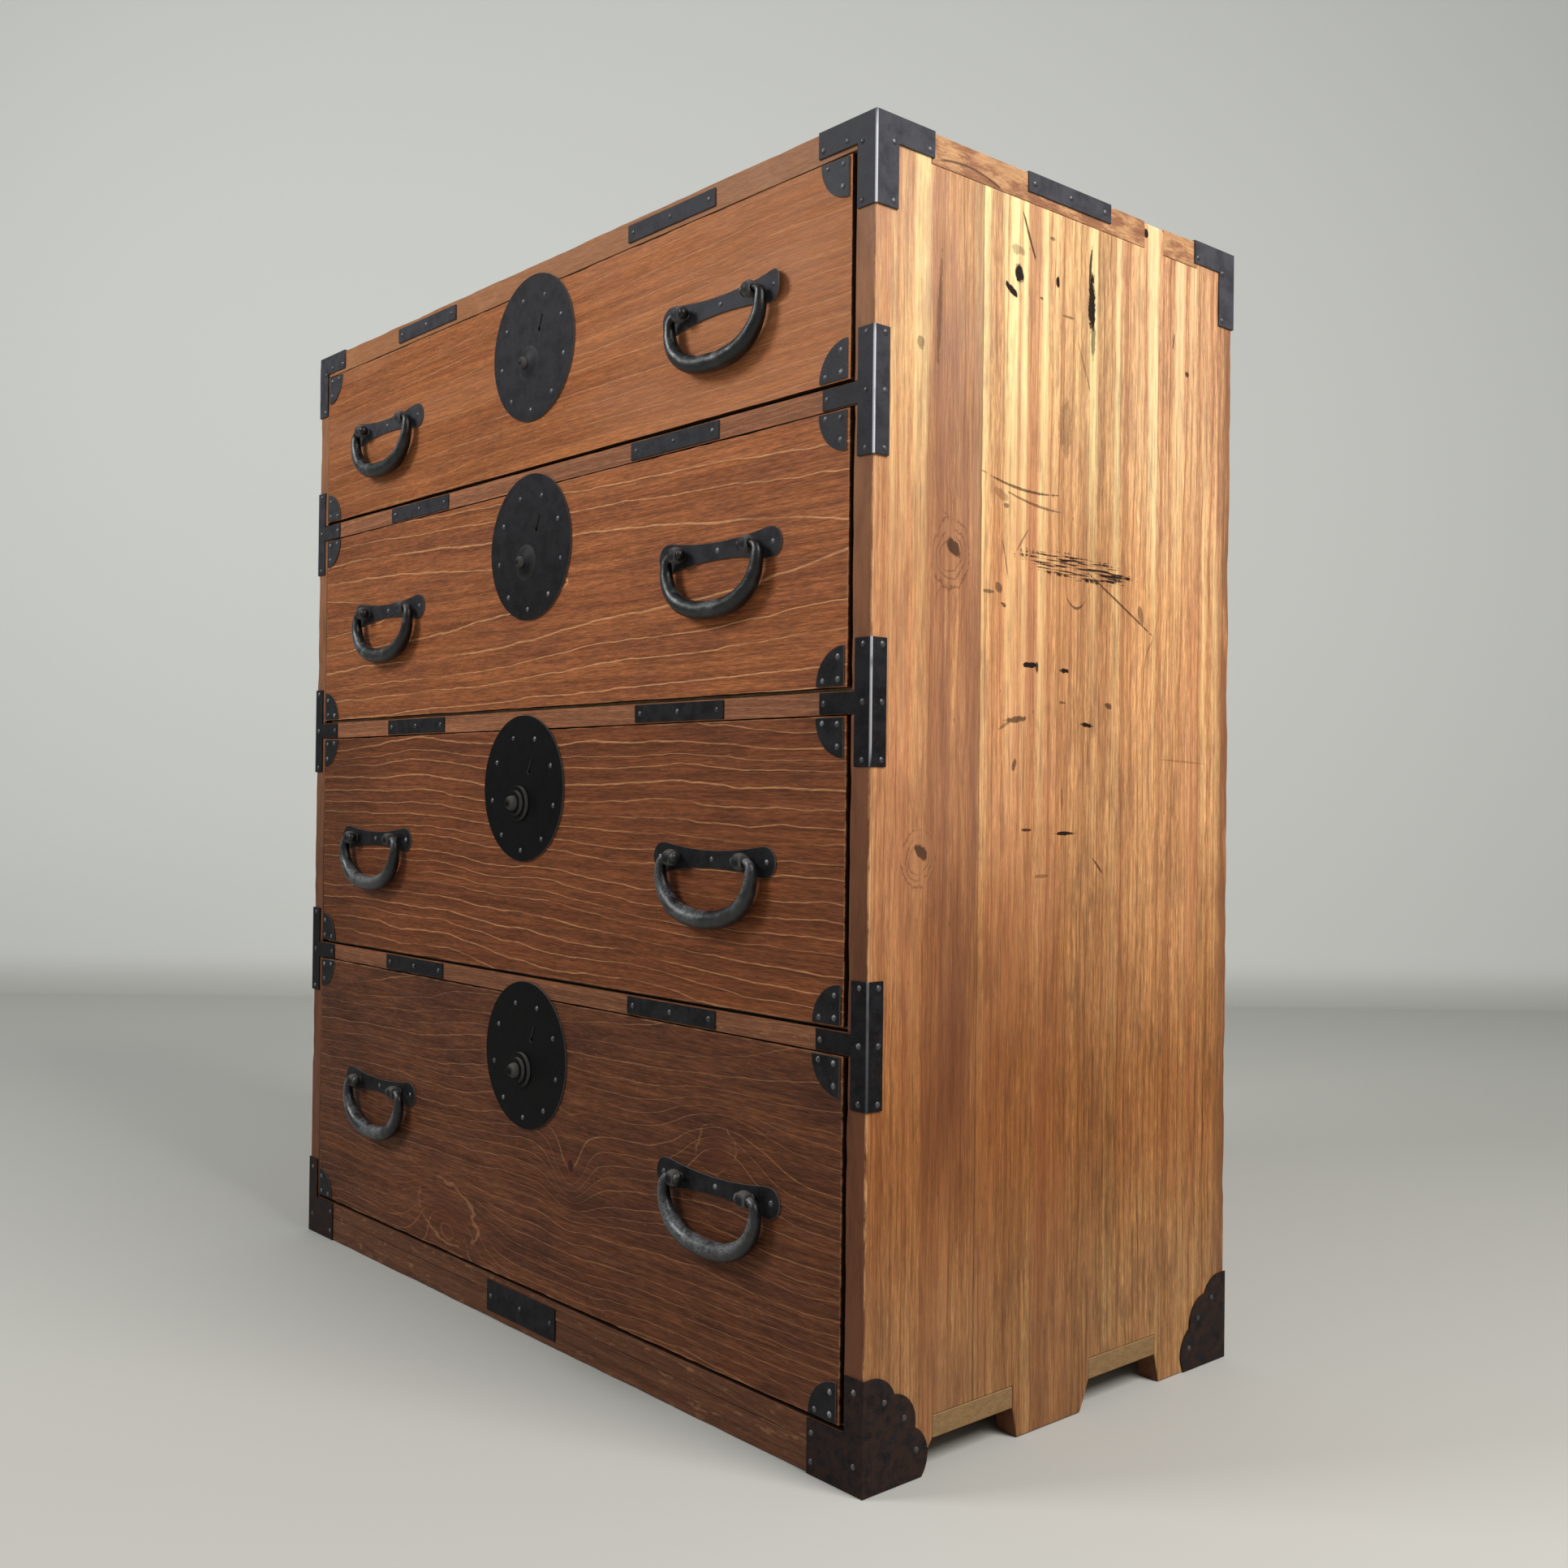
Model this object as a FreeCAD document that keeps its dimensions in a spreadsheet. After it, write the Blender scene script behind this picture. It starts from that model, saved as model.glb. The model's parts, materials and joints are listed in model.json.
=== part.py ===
import FreeCAD, Part

import math
import os
import re

# Isho clothing chest: a Japanese four-drawer chest with nailed iron fittings.
# The front faces -Y, the feet stand on Z = 0, and X runs along the front.
# The origin is under the middle of the whole chest, fittings included.

OUT = "parts"
DRAWER_COUNT = 4
DRAWERS = range(1, DRAWER_COUNT + 1)
RAILS = range(1, DRAWER_COUNT)
LEFT = "left"
RIGHT = "right"

# Driving dimensions, millimetres. Names that end in share are plain ratios.
SIZES = {
    # the case and its boards
    "case_width": 910,
    "case_depth": 455,
    "case_height": 1000,
    "side_thick": 21,
    "top_thick": 23,
    "bottom_thick": 17,
    "foot_height": 25,
    "base_rail_thick": 20,
    "rail_height": 17,
    "rail_depth": 45,
    "housing_depth": 8,
    "shelf_thick": 9,
    "back_thick": 8,
    "back_overlap": 10,
    # heights of the four openings, which together fill the case from top to bottom board
    "opening_height_1": 170,
    "opening_height_2": 209,
    "opening_height_3": 232,
    "opening_height_4": 273,
    # the top board's tongues through the sides, one after the other from front to back
    "tongue_start_1": 58,
    "tongue_length_1": 264,
    "tongue_start_2": 28,
    "tongue_length_2": 50,
    "tongue_rest": 55,
    # the bottom board's through tenons and the foot notches below them
    "tenon_start_1": 73,
    "tenon_length_1": 91,
    "tenon_start_2": 260,
    "tenon_length_2": 91,
    "notch_slope_1": 19,
    "notch_slope_2": 10,
    "notch_heel": 6,
    # drawers
    "front_thick": 20,
    "front_proud": 0.4,
    "front_lift": 3,
    "run_gap": 0.3,
    "top_gap": 1,
    "left_gap": 1.5,
    "right_gap": 3.5,
    "rear_gap": 5,
    "rabbet": 12,
    "wall_thick": 12,
    "back_wall_thick": 10,
    "drawer_bottom_thick": 8,
    "wall_drop": 4,
    # iron plates
    "iron_thick": 1.2,
    "floor_gap": 0.4,
    "tee_height": 94,
    "tee_leg_width": 17.5,
    "tee_arm_height": 16,
    "tee_reach": 55,
    "tee_side_width": 15,
    "top_iron_reach": 62,
    "top_iron_arm": 19,
    "top_iron_leg": 20,
    "top_iron_drop": 67,
    "top_iron_side_reach": 60,
    "top_iron_side_leg": 22,
    "base_iron_reach": 60,
    "base_iron_rise": 41.5,
    "base_iron_leg": 20,
    "base_iron_height": 84,
    "rear_iron_height": 75,
    "base_iron_side_reach": 67,
    "lobe_radius": 24.5,
    "strap_length": 120,
    "strap_height": 15,
    "base_strap_length": 118,
    "base_strap_height": 29,
    "base_strap_rise": 7,
    "side_strap_length": 106,
    "side_strap_start": 168,
    "side_strap_height": 15,
    "side_strap_top": 18,
    # places of the straps along the front, from the middle to their near ends
    "rail_strap_left_1": 157,
    "rail_strap_right_1": 158,
    "rail_strap_left_2": 159,
    "rail_strap_right_2": 168,
    "rail_strap_left_3": 156,
    "rail_strap_right_3": 162,
    "top_strap_left": 147,
    "top_strap_right": 150,
    "top_strap_drop": 4,
    "base_strap_shift": 3,
    "corner_plate_radius": 30,
    "corner_plate_side_inset": 3,
    "corner_plate_edge_inset": 1,
    # nails
    "nail_head_radius": 2.7,
    "nail_head_rise": 1,
    "nail_radius": 1.1,
    "nail_length": 9,
    "nail_inset": 5,
    # lock plates
    "lock_plate_radius": 68.5,
    "lock_plate_thick": 1.8,
    "lock_drop": 54.5,
    "lock_shift_1": 0,
    "lock_shift_2": -1,
    "lock_shift_3": -8,
    "lock_shift_4": 1.6,
    "lock_nail_ring": 54,
    "lock_nail_drop": 4.5,
    "boss_left": 6,
    "boss_drop": 14,
    "dome_radius": 17,
    "dome_rise": 6,
    "ring_radius": 16,
    "ring_rise": 3.2,
    "upper_ring_radius": 11.5,
    "upper_ring_rise": 6.5,
    "keyhole_right": 10.5,
    "keyhole_rise": 15.5,
    "keyhole_length": 14,
    "keyhole_width": 3,
    "keyhole_dot_radius": 2.4,
    # lock works
    "lock_case_width": 63,
    "lock_case_height": 69,
    "lock_case_depth": 14.5,
    "lock_wall": 1.2,
    "fit_gap": 0.3,
    "button_radius_dome": 5.5,
    "button_reach_dome": 13,
    "button_radius_ring": 7,
    "button_reach_ring": 16,
    "button_step": 1,
    "stem_radius": 4,
    "stem_lap": 0.6,
    "button_travel": 6,
    "bolt_width": 12,
    "bolt_back_gap": 0.4,
    "bolt_play": 0.5,
    "strike_margin": 1,
    "strike_room": 4,
    # drop handles, their middles measured in from the inner faces of the sides
    "handle_left_1": 145.5,
    "handle_left_2": 153.5,
    "handle_left_3": 131.5,
    "handle_left_4": 148,
    "handle_right_1": 154,
    "handle_right_2": 154.5,
    "handle_right_3": 157.5,
    "handle_right_4": 148,
    # each one was fixed by hand, a little above or below the common height
    "handle_rise_left_1": -0.8,
    "handle_rise_left_2": 4.3,
    "handle_rise_left_3": -2.6,
    "handle_rise_left_4": 1.6,
    "handle_rise_right_1": 0.6,
    "handle_rise_right_2": 7.3,
    "handle_rise_right_3": -3.9,
    "handle_rise_right_4": 3.6,
    "handle_plate_length": 155,
    "handle_plate_end_radius": 12,
    "handle_plate_waist": 14,
    "handle_plate_thick": 1.6,
    "handle_nail_reach": 68,
    "post_reach": 45,
    "post_width": 9,
    "eye_radius": 7,
    "pivot_out": 9.2,
    "shank_radius": 3.5,
    "shank_gap": 0.1,
    "clinch_radius": 6,
    "clinch_thick": 1.5,
    "pin_radius": 3,
    "pin_gap": 0.25,
    "rivet_radius": 4.8,
    "rivet_length": 4,
    "rivet_gap": 0.6,
    "bail_half_width": 58,
    "bail_drop": 48,
    "bail_bend": 7.5,
    "bail_radius": 7.9,
    "bail_shoulder_radius": 4.6,
    # one overrun for every cut, and plain ratios
    "overrun": 5,
    "handle_height_share": 0.465,
    "bail_corner_share": 0.96,
    "lobe_reach_1_share": 0.12,
    "lobe_reach_2_share": 0.43,
    "lobe_reach_3_share": 0.625,
    "lobe_height_1_share": 0.71,
    "lobe_height_2_share": 0.52,
    "lobe_height_3_share": 0.2,
}

# Counts, and angles in degrees.
LOCK_NAIL_COUNT = 9
BEND_STEPS = 4
CORNER_STEPS = 8
LOCK_NAIL_PHASE = 28
KEYHOLE_LEAN = 24
QUARTER_TURN = 90

# Three nails in a quarter-round plate, as shares of its radius from its corner.
CORNER_NAIL_SHARES = ((0.75, 0.14), (0.2, 0.17), (0.2, 0.72))

# Places worked out from the sizes.
PLACES = {
    "opening_fit": "opening_room/(" + " + ".join(f"opening_height_{n}" for n in DRAWERS) + ")",
    "tongue_fit": "case_depth/tongue_room",
    "front": "(front_proud + pivot_out + bail_radius - case_depth - iron_thick - nail_head_rise)/2",
    "back": "front + case_depth",
    "inner": "case_width/2 - side_thick",
    "right_edge": "case_width/2 + iron_thick",
    "front_iron": "front - iron_thick",
    "top_iron": "case_height + iron_thick",
    "back_face": "back - back_thick",
    "floor_board_top": "foot_height + bottom_thick",
    "board_floor": "case_height - top_thick",
    "opening_room": f"(board_floor - floor_board_top - {len(RAILS)}*rail_height)",
    "ceiling_1": "board_floor",
    "ceiling_2": "sill_1 - rail_height",
    "ceiling_3": "sill_2 - rail_height",
    "ceiling_4": "sill_3 - rail_height",
    "tongue_room": "(tongue_start_1 + tongue_length_1 + tongue_start_2 + tongue_length_2 + tongue_rest)",
    "tongue_near_1": "front + tongue_start_1*tongue_fit",
    "tongue_far_1": "tongue_near_1 + tongue_length_1*tongue_fit",
    "tongue_near_2": "tongue_far_1 + tongue_start_2*tongue_fit",
    "tongue_far_2": "tongue_near_2 + tongue_length_2*tongue_fit",
    "face": "front - front_proud",
    "face_back": "face + front_thick",
    "drawer_left": "-inner + left_gap",
    "drawer_right": "inner - right_gap",
    "drawer_back": "back_face - rear_gap",
    "pivot_y": "face - pivot_out",
    "lock_face": "face - lock_plate_thick",
    "bolt_back": "face + lock_case_depth - lock_wall - bolt_back_gap",
    "bolt_front": "bolt_back - button_travel - strike_margin",
    "stem_end": "bolt_front + stem_lap",
}
for number in DRAWERS:
    PLACES[f"sill_{number}"] = f"ceiling_{number} - opening_height_{number}*opening_fit"
    PLACES[f"face_top_{number}"] = f"ceiling_{number} - top_gap"
    PLACES[f"face_floor_{number}"] = f"sill_{number} + front_lift"
    PLACES[f"run_{number}"] = f"sill_{number} + run_gap"
    PLACES[f"wall_floor_{number}"] = f"run_{number} + drawer_bottom_thick"
    PLACES[f"wall_top_{number}"] = f"face_top_{number} - wall_drop"
    PLACES[f"lock_z_{number}"] = f"face_top_{number} - lock_drop"
    PLACES[f"button_x_{number}"] = f"lock_shift_{number} - boss_left"
    PLACES[f"button_z_{number}"] = f"lock_z_{number} - boss_drop"
    PLACES[f"handle_height_{number}"] = (
        f"ceiling_{number} - handle_height_share*(ceiling_{number} - sill_{number})"
    )
    for side in (LEFT, RIGHT):
        PLACES[f"handle_z_{side}_{number}"] = f"handle_height_{number} + handle_rise_{side}_{number}"
for number in RAILS:
    PLACES[f"rail_mid_{number}"] = f"sill_{number} - rail_height/2"

doc = FreeCAD.newDocument("isho_clothing_chest")
sheet = doc.addObject("Spreadsheet::Sheet", "Sizes")
for row, (alias, size) in enumerate(SIZES.items(), start=1):
    sheet.set(f"A{row}", alias)
    sheet.set(f"B{row}", str(size))
    sheet.setAlias(f"B{row}", alias)
doc.recompute()


def sized(text):
    """Put the sheet's name before each alias, and each place's own formula in brackets."""

    def swap(match):
        word = match.group(0)
        if word in PLACES:
            return "(" + sized(PLACES[word]) + ")"
        if word in SIZES:
            return "Sizes." + word
        return word

    return re.sub(r"[a-z_][a-z0-9_]*", swap, text)


def value(text):
    """The number that a formula of sizes comes to."""
    return float(sheet.evalExpression(sized(text)))


def bind(item, **formulas):
    """Bind properties of a document object to formulas of the sheet's sizes."""
    for name, text in formulas.items():
        item.setExpression(name, sized(text))
    return item


def place(item, x, y, z, axis=None, angle=0):
    """Give an object its place, and a turn about one axis where it needs one."""
    if axis:
        turn = FreeCAD.Rotation(FreeCAD.Vector(*axis), angle)
        item.Placement = FreeCAD.Placement(FreeCAD.Vector(), turn)
    for letter, text in (("x", x), ("y", y), ("z", z)):
        item.setExpression(f"Placement.Base.{letter}", sized(text))
    return item


def box(name, x, y, z):
    """A board or plate between two places along each axis."""
    item = doc.addObject("Part::Box", name)
    bind(item, Length=f"({x[1]}) - ({x[0]})", Width=f"({y[1]}) - ({y[0]})")
    bind(item, Height=f"({z[1]}) - ({z[0]})")
    return place(item, x[0], y[0], z[0])


def disc_y(name, radius, x, y, z):
    """A round plate or hole along Y, between two places."""
    item = bind(doc.addObject("Part::Cylinder", name), Radius=radius)
    bind(item, Height=f"({y[1]}) - ({y[0]})")
    return place(item, x, y[1], z, (1, 0, 0), QUARTER_TURN)


def disc_x(name, radius, x, y, z):
    """A round plate or hole along X, between two places."""
    item = bind(doc.addObject("Part::Cylinder", name), Radius=radius)
    bind(item, Height=f"({x[1]}) - ({x[0]})")
    return place(item, x[0], y, z, (0, 1, 0), QUARTER_TURN)


def cap_y(name, rim_radius, rise, x, y, z):
    """A low dome that stands out towards -Y from the place y."""
    ball = f"((({rim_radius})^2 + ({rise})^2)/(2*({rise})))"
    item = bind(doc.addObject("Part::Sphere", name), Radius=ball)
    bind(item, Angle1=f"asin(({ball} - ({rise}))/{ball})")
    return place(item, x, f"{y} + {ball} - ({rise})", z, (1, 0, 0), QUARTER_TURN)


def slope(name, x, y_top, y_foot, z):
    """A prism along X whose Y span changes evenly from its top to its foot."""
    item = doc.addObject("Part::Wedge", name)
    bind(item, Xmin=x[0], Xmax=x[1], X2min=x[0], X2max=x[1])
    bind(item, Ymin=f"-({z[1]})", Ymax=f"-({z[0]})")
    bind(item, Zmin=y_top[0], Zmax=y_top[1], Z2min=y_foot[0], Z2max=y_foot[1])
    item.Placement = FreeCAD.Placement(
        FreeCAD.Vector(), FreeCAD.Rotation(FreeCAD.Vector(1, 0, 0), -QUARTER_TURN)
    )
    return item


def fuse(name, pieces):
    item = doc.addObject("Part::MultiFuse", name)
    item.Shapes = pieces
    return item


def group(name, pieces):
    item = doc.addObject("Part::Compound", name)
    item.Links = pieces
    return item


def cut(name, base, tools):
    item = doc.addObject("Part::Cut", name)
    item.Base = base
    item.Tool = tools[0] if len(tools) == 1 else group(name + "_tools", tools)
    return item


def mirror_x(name, source):
    item = doc.addObject("Part::Mirroring", name)
    item.Source = source
    item.Normal = FreeCAD.Vector(1, 0, 0)
    return item


def mirror_y(name, source):
    """The same fitting at the back of the case."""
    item = doc.addObject("Part::Mirroring", name)
    item.Source = source
    item.Normal = FreeCAD.Vector(0, 1, 0)
    item.setExpression("Base.y", sized("front + case_depth/2"))
    return item


def copy_at(name, source, x, y, z):
    """One more of a repeated fitting, moved from the origin to its place."""
    return place(group(name, [source]), x, y, z)


def back_from_front(start, length):
    """A Y span that begins a distance behind the case's front face."""
    return (f"front + ({start})", f"front + ({start}) + ({length})")


NODES = {}


def node(name, item):
    item.Label = name
    NODES[name] = item
    return item


# The case boards.

def foot_notch(number):
    """The opening under one tenon, sloped at both ends so that the feet flare out."""
    start = f"tenon_start_{number}"
    end = f"tenon_start_{number} + tenon_length_{number}"
    return slope(
        f"notch_{number}",
        ("inner - overrun", "case_width/2 + overrun"),
        (f"front + {start}", f"front + {end}"),
        (f"front + {start} - notch_slope_{number}", f"front + {end} + notch_heel"),
        ("0", "foot_height"),
    )


def side_panel():
    """The right side board: foot notches, mortises, top joint, housings and back rabbet."""
    across = ("inner - overrun", "case_width/2 + overrun")
    board = box(
        "side_board", ("inner", "case_width/2"), ("front", "back"), ("0", "case_height")
    )
    cuts = []
    for number in (1, 2):
        cuts.append(foot_notch(number))
        tenon = back_from_front(f"tenon_start_{number}", f"tenon_length_{number}")
        cuts.append(box(f"mortise_{number}", across, tenon, ("foot_height", "floor_board_top")))
        tongue = (f"tongue_near_{number}", f"tongue_far_{number}")
        above = ("board_floor", "case_height + overrun")
        cuts.append(box(f"tongue_slot_{number}", across, tongue, above))
    for number in RAILS:
        housing = ("inner - overrun", "inner + housing_depth")
        rail = ("front - overrun", "front + rail_depth")
        heights = (f"sill_{number} - rail_height", f"sill_{number}")
        cuts.append(box(f"rail_housing_{number}", housing, rail, heights))
        shelf = ("front + rail_depth", "back_face")
        heights = (f"sill_{number} - shelf_thick", f"sill_{number}")
        cuts.append(box(f"shelf_housing_{number}", housing, shelf, heights))
    rabbet = ("inner - overrun", "inner + back_overlap")
    behind = ("back_face", "back + overrun")
    cuts.append(box("back_rabbet", rabbet, behind, ("foot_height", "board_floor")))
    return cut("side_panel", board, cuts)


def strike(number):
    """The mortise that the bolt of one drawer's lock rises into."""
    half = "(bolt_width/2 + strike_margin)"
    return box(
        f"strike_{number}",
        (f"button_x_{number} - {half}", f"button_x_{number} + {half}"),
        ("bolt_front - strike_margin", "bolt_back + strike_margin"),
        (f"ceiling_{number} - overrun", f"ceiling_{number} + button_travel + strike_room"),
    )


def top_board():
    """The top board, cut away at both ends where the sides come up through it."""
    board = box(
        "top_blank",
        ("-case_width/2", "case_width/2"),
        ("front", "back"),
        ("board_floor", "case_height"),
    )
    gaps = (
        ("front - overrun", "tongue_near_1"),
        ("tongue_far_1", "tongue_near_2"),
        ("tongue_far_2", "back + overrun"),
    )
    cuts = [strike(1)]
    for index, span in enumerate(gaps):
        right = box(
            f"top_gap_{index}",
            ("inner", "case_width/2 + overrun"),
            span,
            ("board_floor - overrun", "case_height + overrun"),
        )
        cuts.extend([right, mirror_x(f"top_gap_left_{index}", right)])
    return cut("top_board", board, cuts)


def bottom_board():
    heights = ("foot_height", "floor_board_top")
    pieces = [box("bottom_blank", ("-inner", "inner"), ("front", "back_face"), heights)]
    for number in (1, 2):
        span = back_from_front(f"tenon_start_{number}", f"tenon_length_{number}")
        across = ("-case_width/2", "case_width/2")
        pieces.append(box(f"tenon_{number}", across, span, heights))
    return fuse("bottom_board", pieces)


def rails():
    pieces = []
    ends = ("-inner - housing_depth", "inner + housing_depth")
    for number in RAILS:
        rail = box(
            f"rail_blank_{number}",
            ends,
            ("front", "front + rail_depth"),
            (f"sill_{number} - rail_height", f"sill_{number}"),
        )
        pieces.append(cut(f"rail_{number}", rail, [strike(number + 1)]))
    return group("divider_rails", pieces)


def shelves():
    pieces = []
    for number in RAILS:
        pieces.append(
            box(
                f"shelf_{number}",
                ("-inner - housing_depth", "inner + housing_depth"),
                ("front + rail_depth", "back_face"),
                (f"sill_{number} - shelf_thick", f"sill_{number}"),
            )
        )
    return group("dust_shelves", pieces)


def back_boards():
    """Four boards, edge to edge, in the rabbets of the sides."""
    pieces = []
    step = f"((board_floor - foot_height)/{DRAWER_COUNT})"
    for index in range(DRAWER_COUNT):
        pieces.append(
            box(
                f"back_board_{index}",
                ("-inner - back_overlap", "inner + back_overlap"),
                ("back_face", "back"),
                (f"foot_height + {index}*{step}", f"foot_height + {index + 1}*{step}"),
            )
        )
    return group("back_boards", pieces)


panel = side_panel()
node("side_panel_right", panel)
node("side_panel_left", mirror_x("side_panel_left", panel))
node("top_board", top_board())
node("bottom_board", bottom_board())
node(
    "base_rail",
    box("base_rail", ("-inner", "inner"), ("front", "front + base_rail_thick"), ("0", "foot_height")),
)
node("divider_rails", rails())
node("dust_shelves", shelves())
node("back_boards", back_boards())


# Nails: one shape for each way they point, copied to every place.

def nail(name, axis, angle):
    """A round-headed nail whose head rests on the origin's plane."""
    head = cap_y(name + "_head", "nail_head_radius", "nail_head_rise", "0", "0", "0")
    shank = disc_y(name + "_shank", "nail_radius", "0", ("0", "nail_length"), "0")
    whole = fuse(name + "_whole", [head, shank])
    turned = group(name, [whole])
    turned.Placement = FreeCAD.Placement(
        FreeCAD.Vector(), FreeCAD.Rotation(FreeCAD.Vector(*axis), angle)
    )
    return group(name + "_pattern", [turned])


NAIL_FRONT = nail("nail_front", (0, 0, 1), 0)
NAIL_RIGHT = nail("nail_right", (0, 0, 1), QUARTER_TURN)
NAIL_TOP = nail("nail_top", (1, 0, 0), -QUARTER_TURN)


def nails_at(name, source, places):
    """Copies of one nail at a list of places."""
    return [
        copy_at(f"{name}_{index}", source, *spot) for index, spot in enumerate(places)
    ]


# The case irons. Each is made at the right front and mirrored.

def tee_iron(number):
    """A tee over the joint of a rail and the side, wrapped round the corner."""
    middle = f"rail_mid_{number}"
    heights = (f"{middle} - tee_height/2", f"{middle} + tee_height/2")
    name = f"tee_{number}"
    leg = box(
        name + "_leg", ("right_edge - tee_leg_width", "right_edge"), ("front_iron", "front"), heights
    )
    arm = box(
        name + "_arm",
        ("right_edge - tee_reach", "right_edge"),
        ("front_iron", "front"),
        (f"{middle} - tee_arm_height/2", f"{middle} + tee_arm_height/2"),
    )
    flange = box(
        name + "_flange",
        ("case_width/2", "right_edge"),
        ("front_iron", "front + tee_side_width"),
        heights,
    )
    return fuse(name, [leg, arm, flange])


def tee_nails(number):
    middle = f"rail_mid_{number}"
    rise = "(tee_height/2 - nail_inset)"
    leg_x = "right_edge - tee_leg_width/2"
    arm_x = "right_edge - tee_reach + nail_inset"
    heights = (f"{middle} + {rise}", middle, f"{middle} - {rise}")
    spots = [(leg_x, "front_iron", height) for height in heights]
    spots.append((arm_x, "front_iron", middle))
    found = nails_at(f"tee_nail_{number}", NAIL_FRONT, spots)
    flange_y = "front + tee_side_width - nail_inset"
    spots = [("right_edge", flange_y, height) for height in heights]
    return found + nails_at(f"tee_side_nail_{number}", NAIL_RIGHT, spots)


def top_corner_iron():
    """The iron over a top corner: arms and legs on front and side, and an L on top."""
    front_y = ("front_iron", "front")
    side_x = ("case_width/2", "right_edge")
    arm_x = ("right_edge - top_iron_reach", "right_edge")
    leg_x = ("right_edge - top_iron_leg", "right_edge")
    arm_y = ("front_iron", "front + top_iron_side_reach")
    leg_y = ("front_iron", "front + top_iron_side_leg")
    arm_z = ("case_height - top_iron_arm", "top_iron")
    leg_z = ("case_height - top_iron_drop", "top_iron")
    over_z = ("case_height", "top_iron")
    pieces = [
        box("top_iron_arm", arm_x, front_y, arm_z),
        box("top_iron_leg", leg_x, front_y, leg_z),
        box("top_iron_side_arm", side_x, arm_y, arm_z),
        box("top_iron_side_leg", side_x, leg_y, leg_z),
        box("top_iron_front_strip", arm_x, leg_y, over_z),
        box("top_iron_side_strip", leg_x, arm_y, over_z),
    ]
    return fuse("top_corner_iron", pieces)


def top_corner_nails():
    arm_z = "case_height - top_iron_arm + nail_inset"
    leg_z = "case_height - top_iron_drop + nail_inset"
    leg_x = "right_edge - top_iron_leg + nail_inset"
    arm_x = "right_edge - top_iron_reach + nail_inset"
    leg_y = "front + top_iron_side_leg - nail_inset"
    arm_y = "front + top_iron_side_reach - nail_inset"
    spots = [
        (arm_x, "front_iron", arm_z),
        ("right_edge - top_iron_reach/2", "front_iron", arm_z),
        (leg_x, "front_iron", "case_height - top_iron_arm"),
        (leg_x, "front_iron", leg_z),
    ]
    found = nails_at("top_iron_nail", NAIL_FRONT, spots)
    spots = [
        ("right_edge", arm_y, arm_z),
        ("right_edge", leg_y, "case_height - top_iron_arm"),
        ("right_edge", leg_y, leg_z),
    ]
    found += nails_at("top_iron_side_nail", NAIL_RIGHT, spots)
    spots = [
        (arm_x, "front + top_iron_side_leg/2", "top_iron"),
        ("right_edge - top_iron_leg/2", arm_y, "top_iron"),
        ("right_edge - top_iron_leg/2", "front + top_iron_side_leg/2", "top_iron"),
    ]
    return found + nails_at("top_iron_over_nail", NAIL_TOP, spots)


def base_corner_iron(name, height):
    """A foot iron: a plain plate in front, and three scallops down the side."""
    side_x = ("case_width/2", "right_edge")
    front_y = ("front_iron", "front")
    pieces = [
        box(name + "_wide", ("right_edge - base_iron_reach", "right_edge"), front_y,
            ("floor_gap", "base_iron_rise")),
        box(name + "_leg", ("right_edge - base_iron_leg", "right_edge"), front_y,
            ("floor_gap", height)),
    ]
    for index in (1, 2, 3):
        centre_y = f"front + lobe_reach_{index}_share*base_iron_side_reach"
        centre_z = f"lobe_height_{index}_share*{height}"
        pieces.append(disc_x(f"{name}_lobe_{index}", "lobe_radius", side_x, centre_y, centre_z))
        fill_top = centre_z
        if index == 1:
            fill_top = f"{centre_z} + lobe_radius"
        pieces.append(
            box(f"{name}_fill_{index}", side_x, ("front_iron", centre_y), ("floor_gap", fill_top))
        )
    whole = fuse(name + "_whole", pieces)
    below = box(
        name + "_below",
        ("case_width/2 - overrun", "right_edge + overrun"),
        ("front - overrun - lobe_radius", "front + base_iron_side_reach*2"),
        ("-lobe_radius", "floor_gap"),
    )
    ahead = box(
        name + "_ahead",
        ("case_width/2 - overrun", "right_edge + overrun"),
        ("front - overrun - lobe_radius", "front_iron"),
        ("0", f"{height} + lobe_radius"),
    )
    return cut(name, whole, [below, ahead])


def base_corner_nails(name, height):
    leg_x = "right_edge - base_iron_leg/2"
    spots = [
        (leg_x, "front_iron", f"{height} - nail_inset*2"),
        (leg_x, "front_iron", "base_iron_rise/2"),
        ("right_edge - base_iron_reach + nail_inset", "front_iron", "base_iron_rise - nail_inset*2"),
        ("right_edge - base_iron_reach + nail_inset", "front_iron", "nail_inset*2"),
    ]
    found = nails_at(name, NAIL_FRONT, spots)
    spots = []
    for index in (1, 2, 3):
        reach = f"lobe_reach_{index}_share*base_iron_side_reach + lobe_radius/2"
        rise = f"lobe_height_{index}_share*{height} + nail_inset"
        spots.append(("right_edge", f"front + {reach}", rise))
    return found + nails_at(name + "_side", NAIL_RIGHT, spots)


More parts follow.
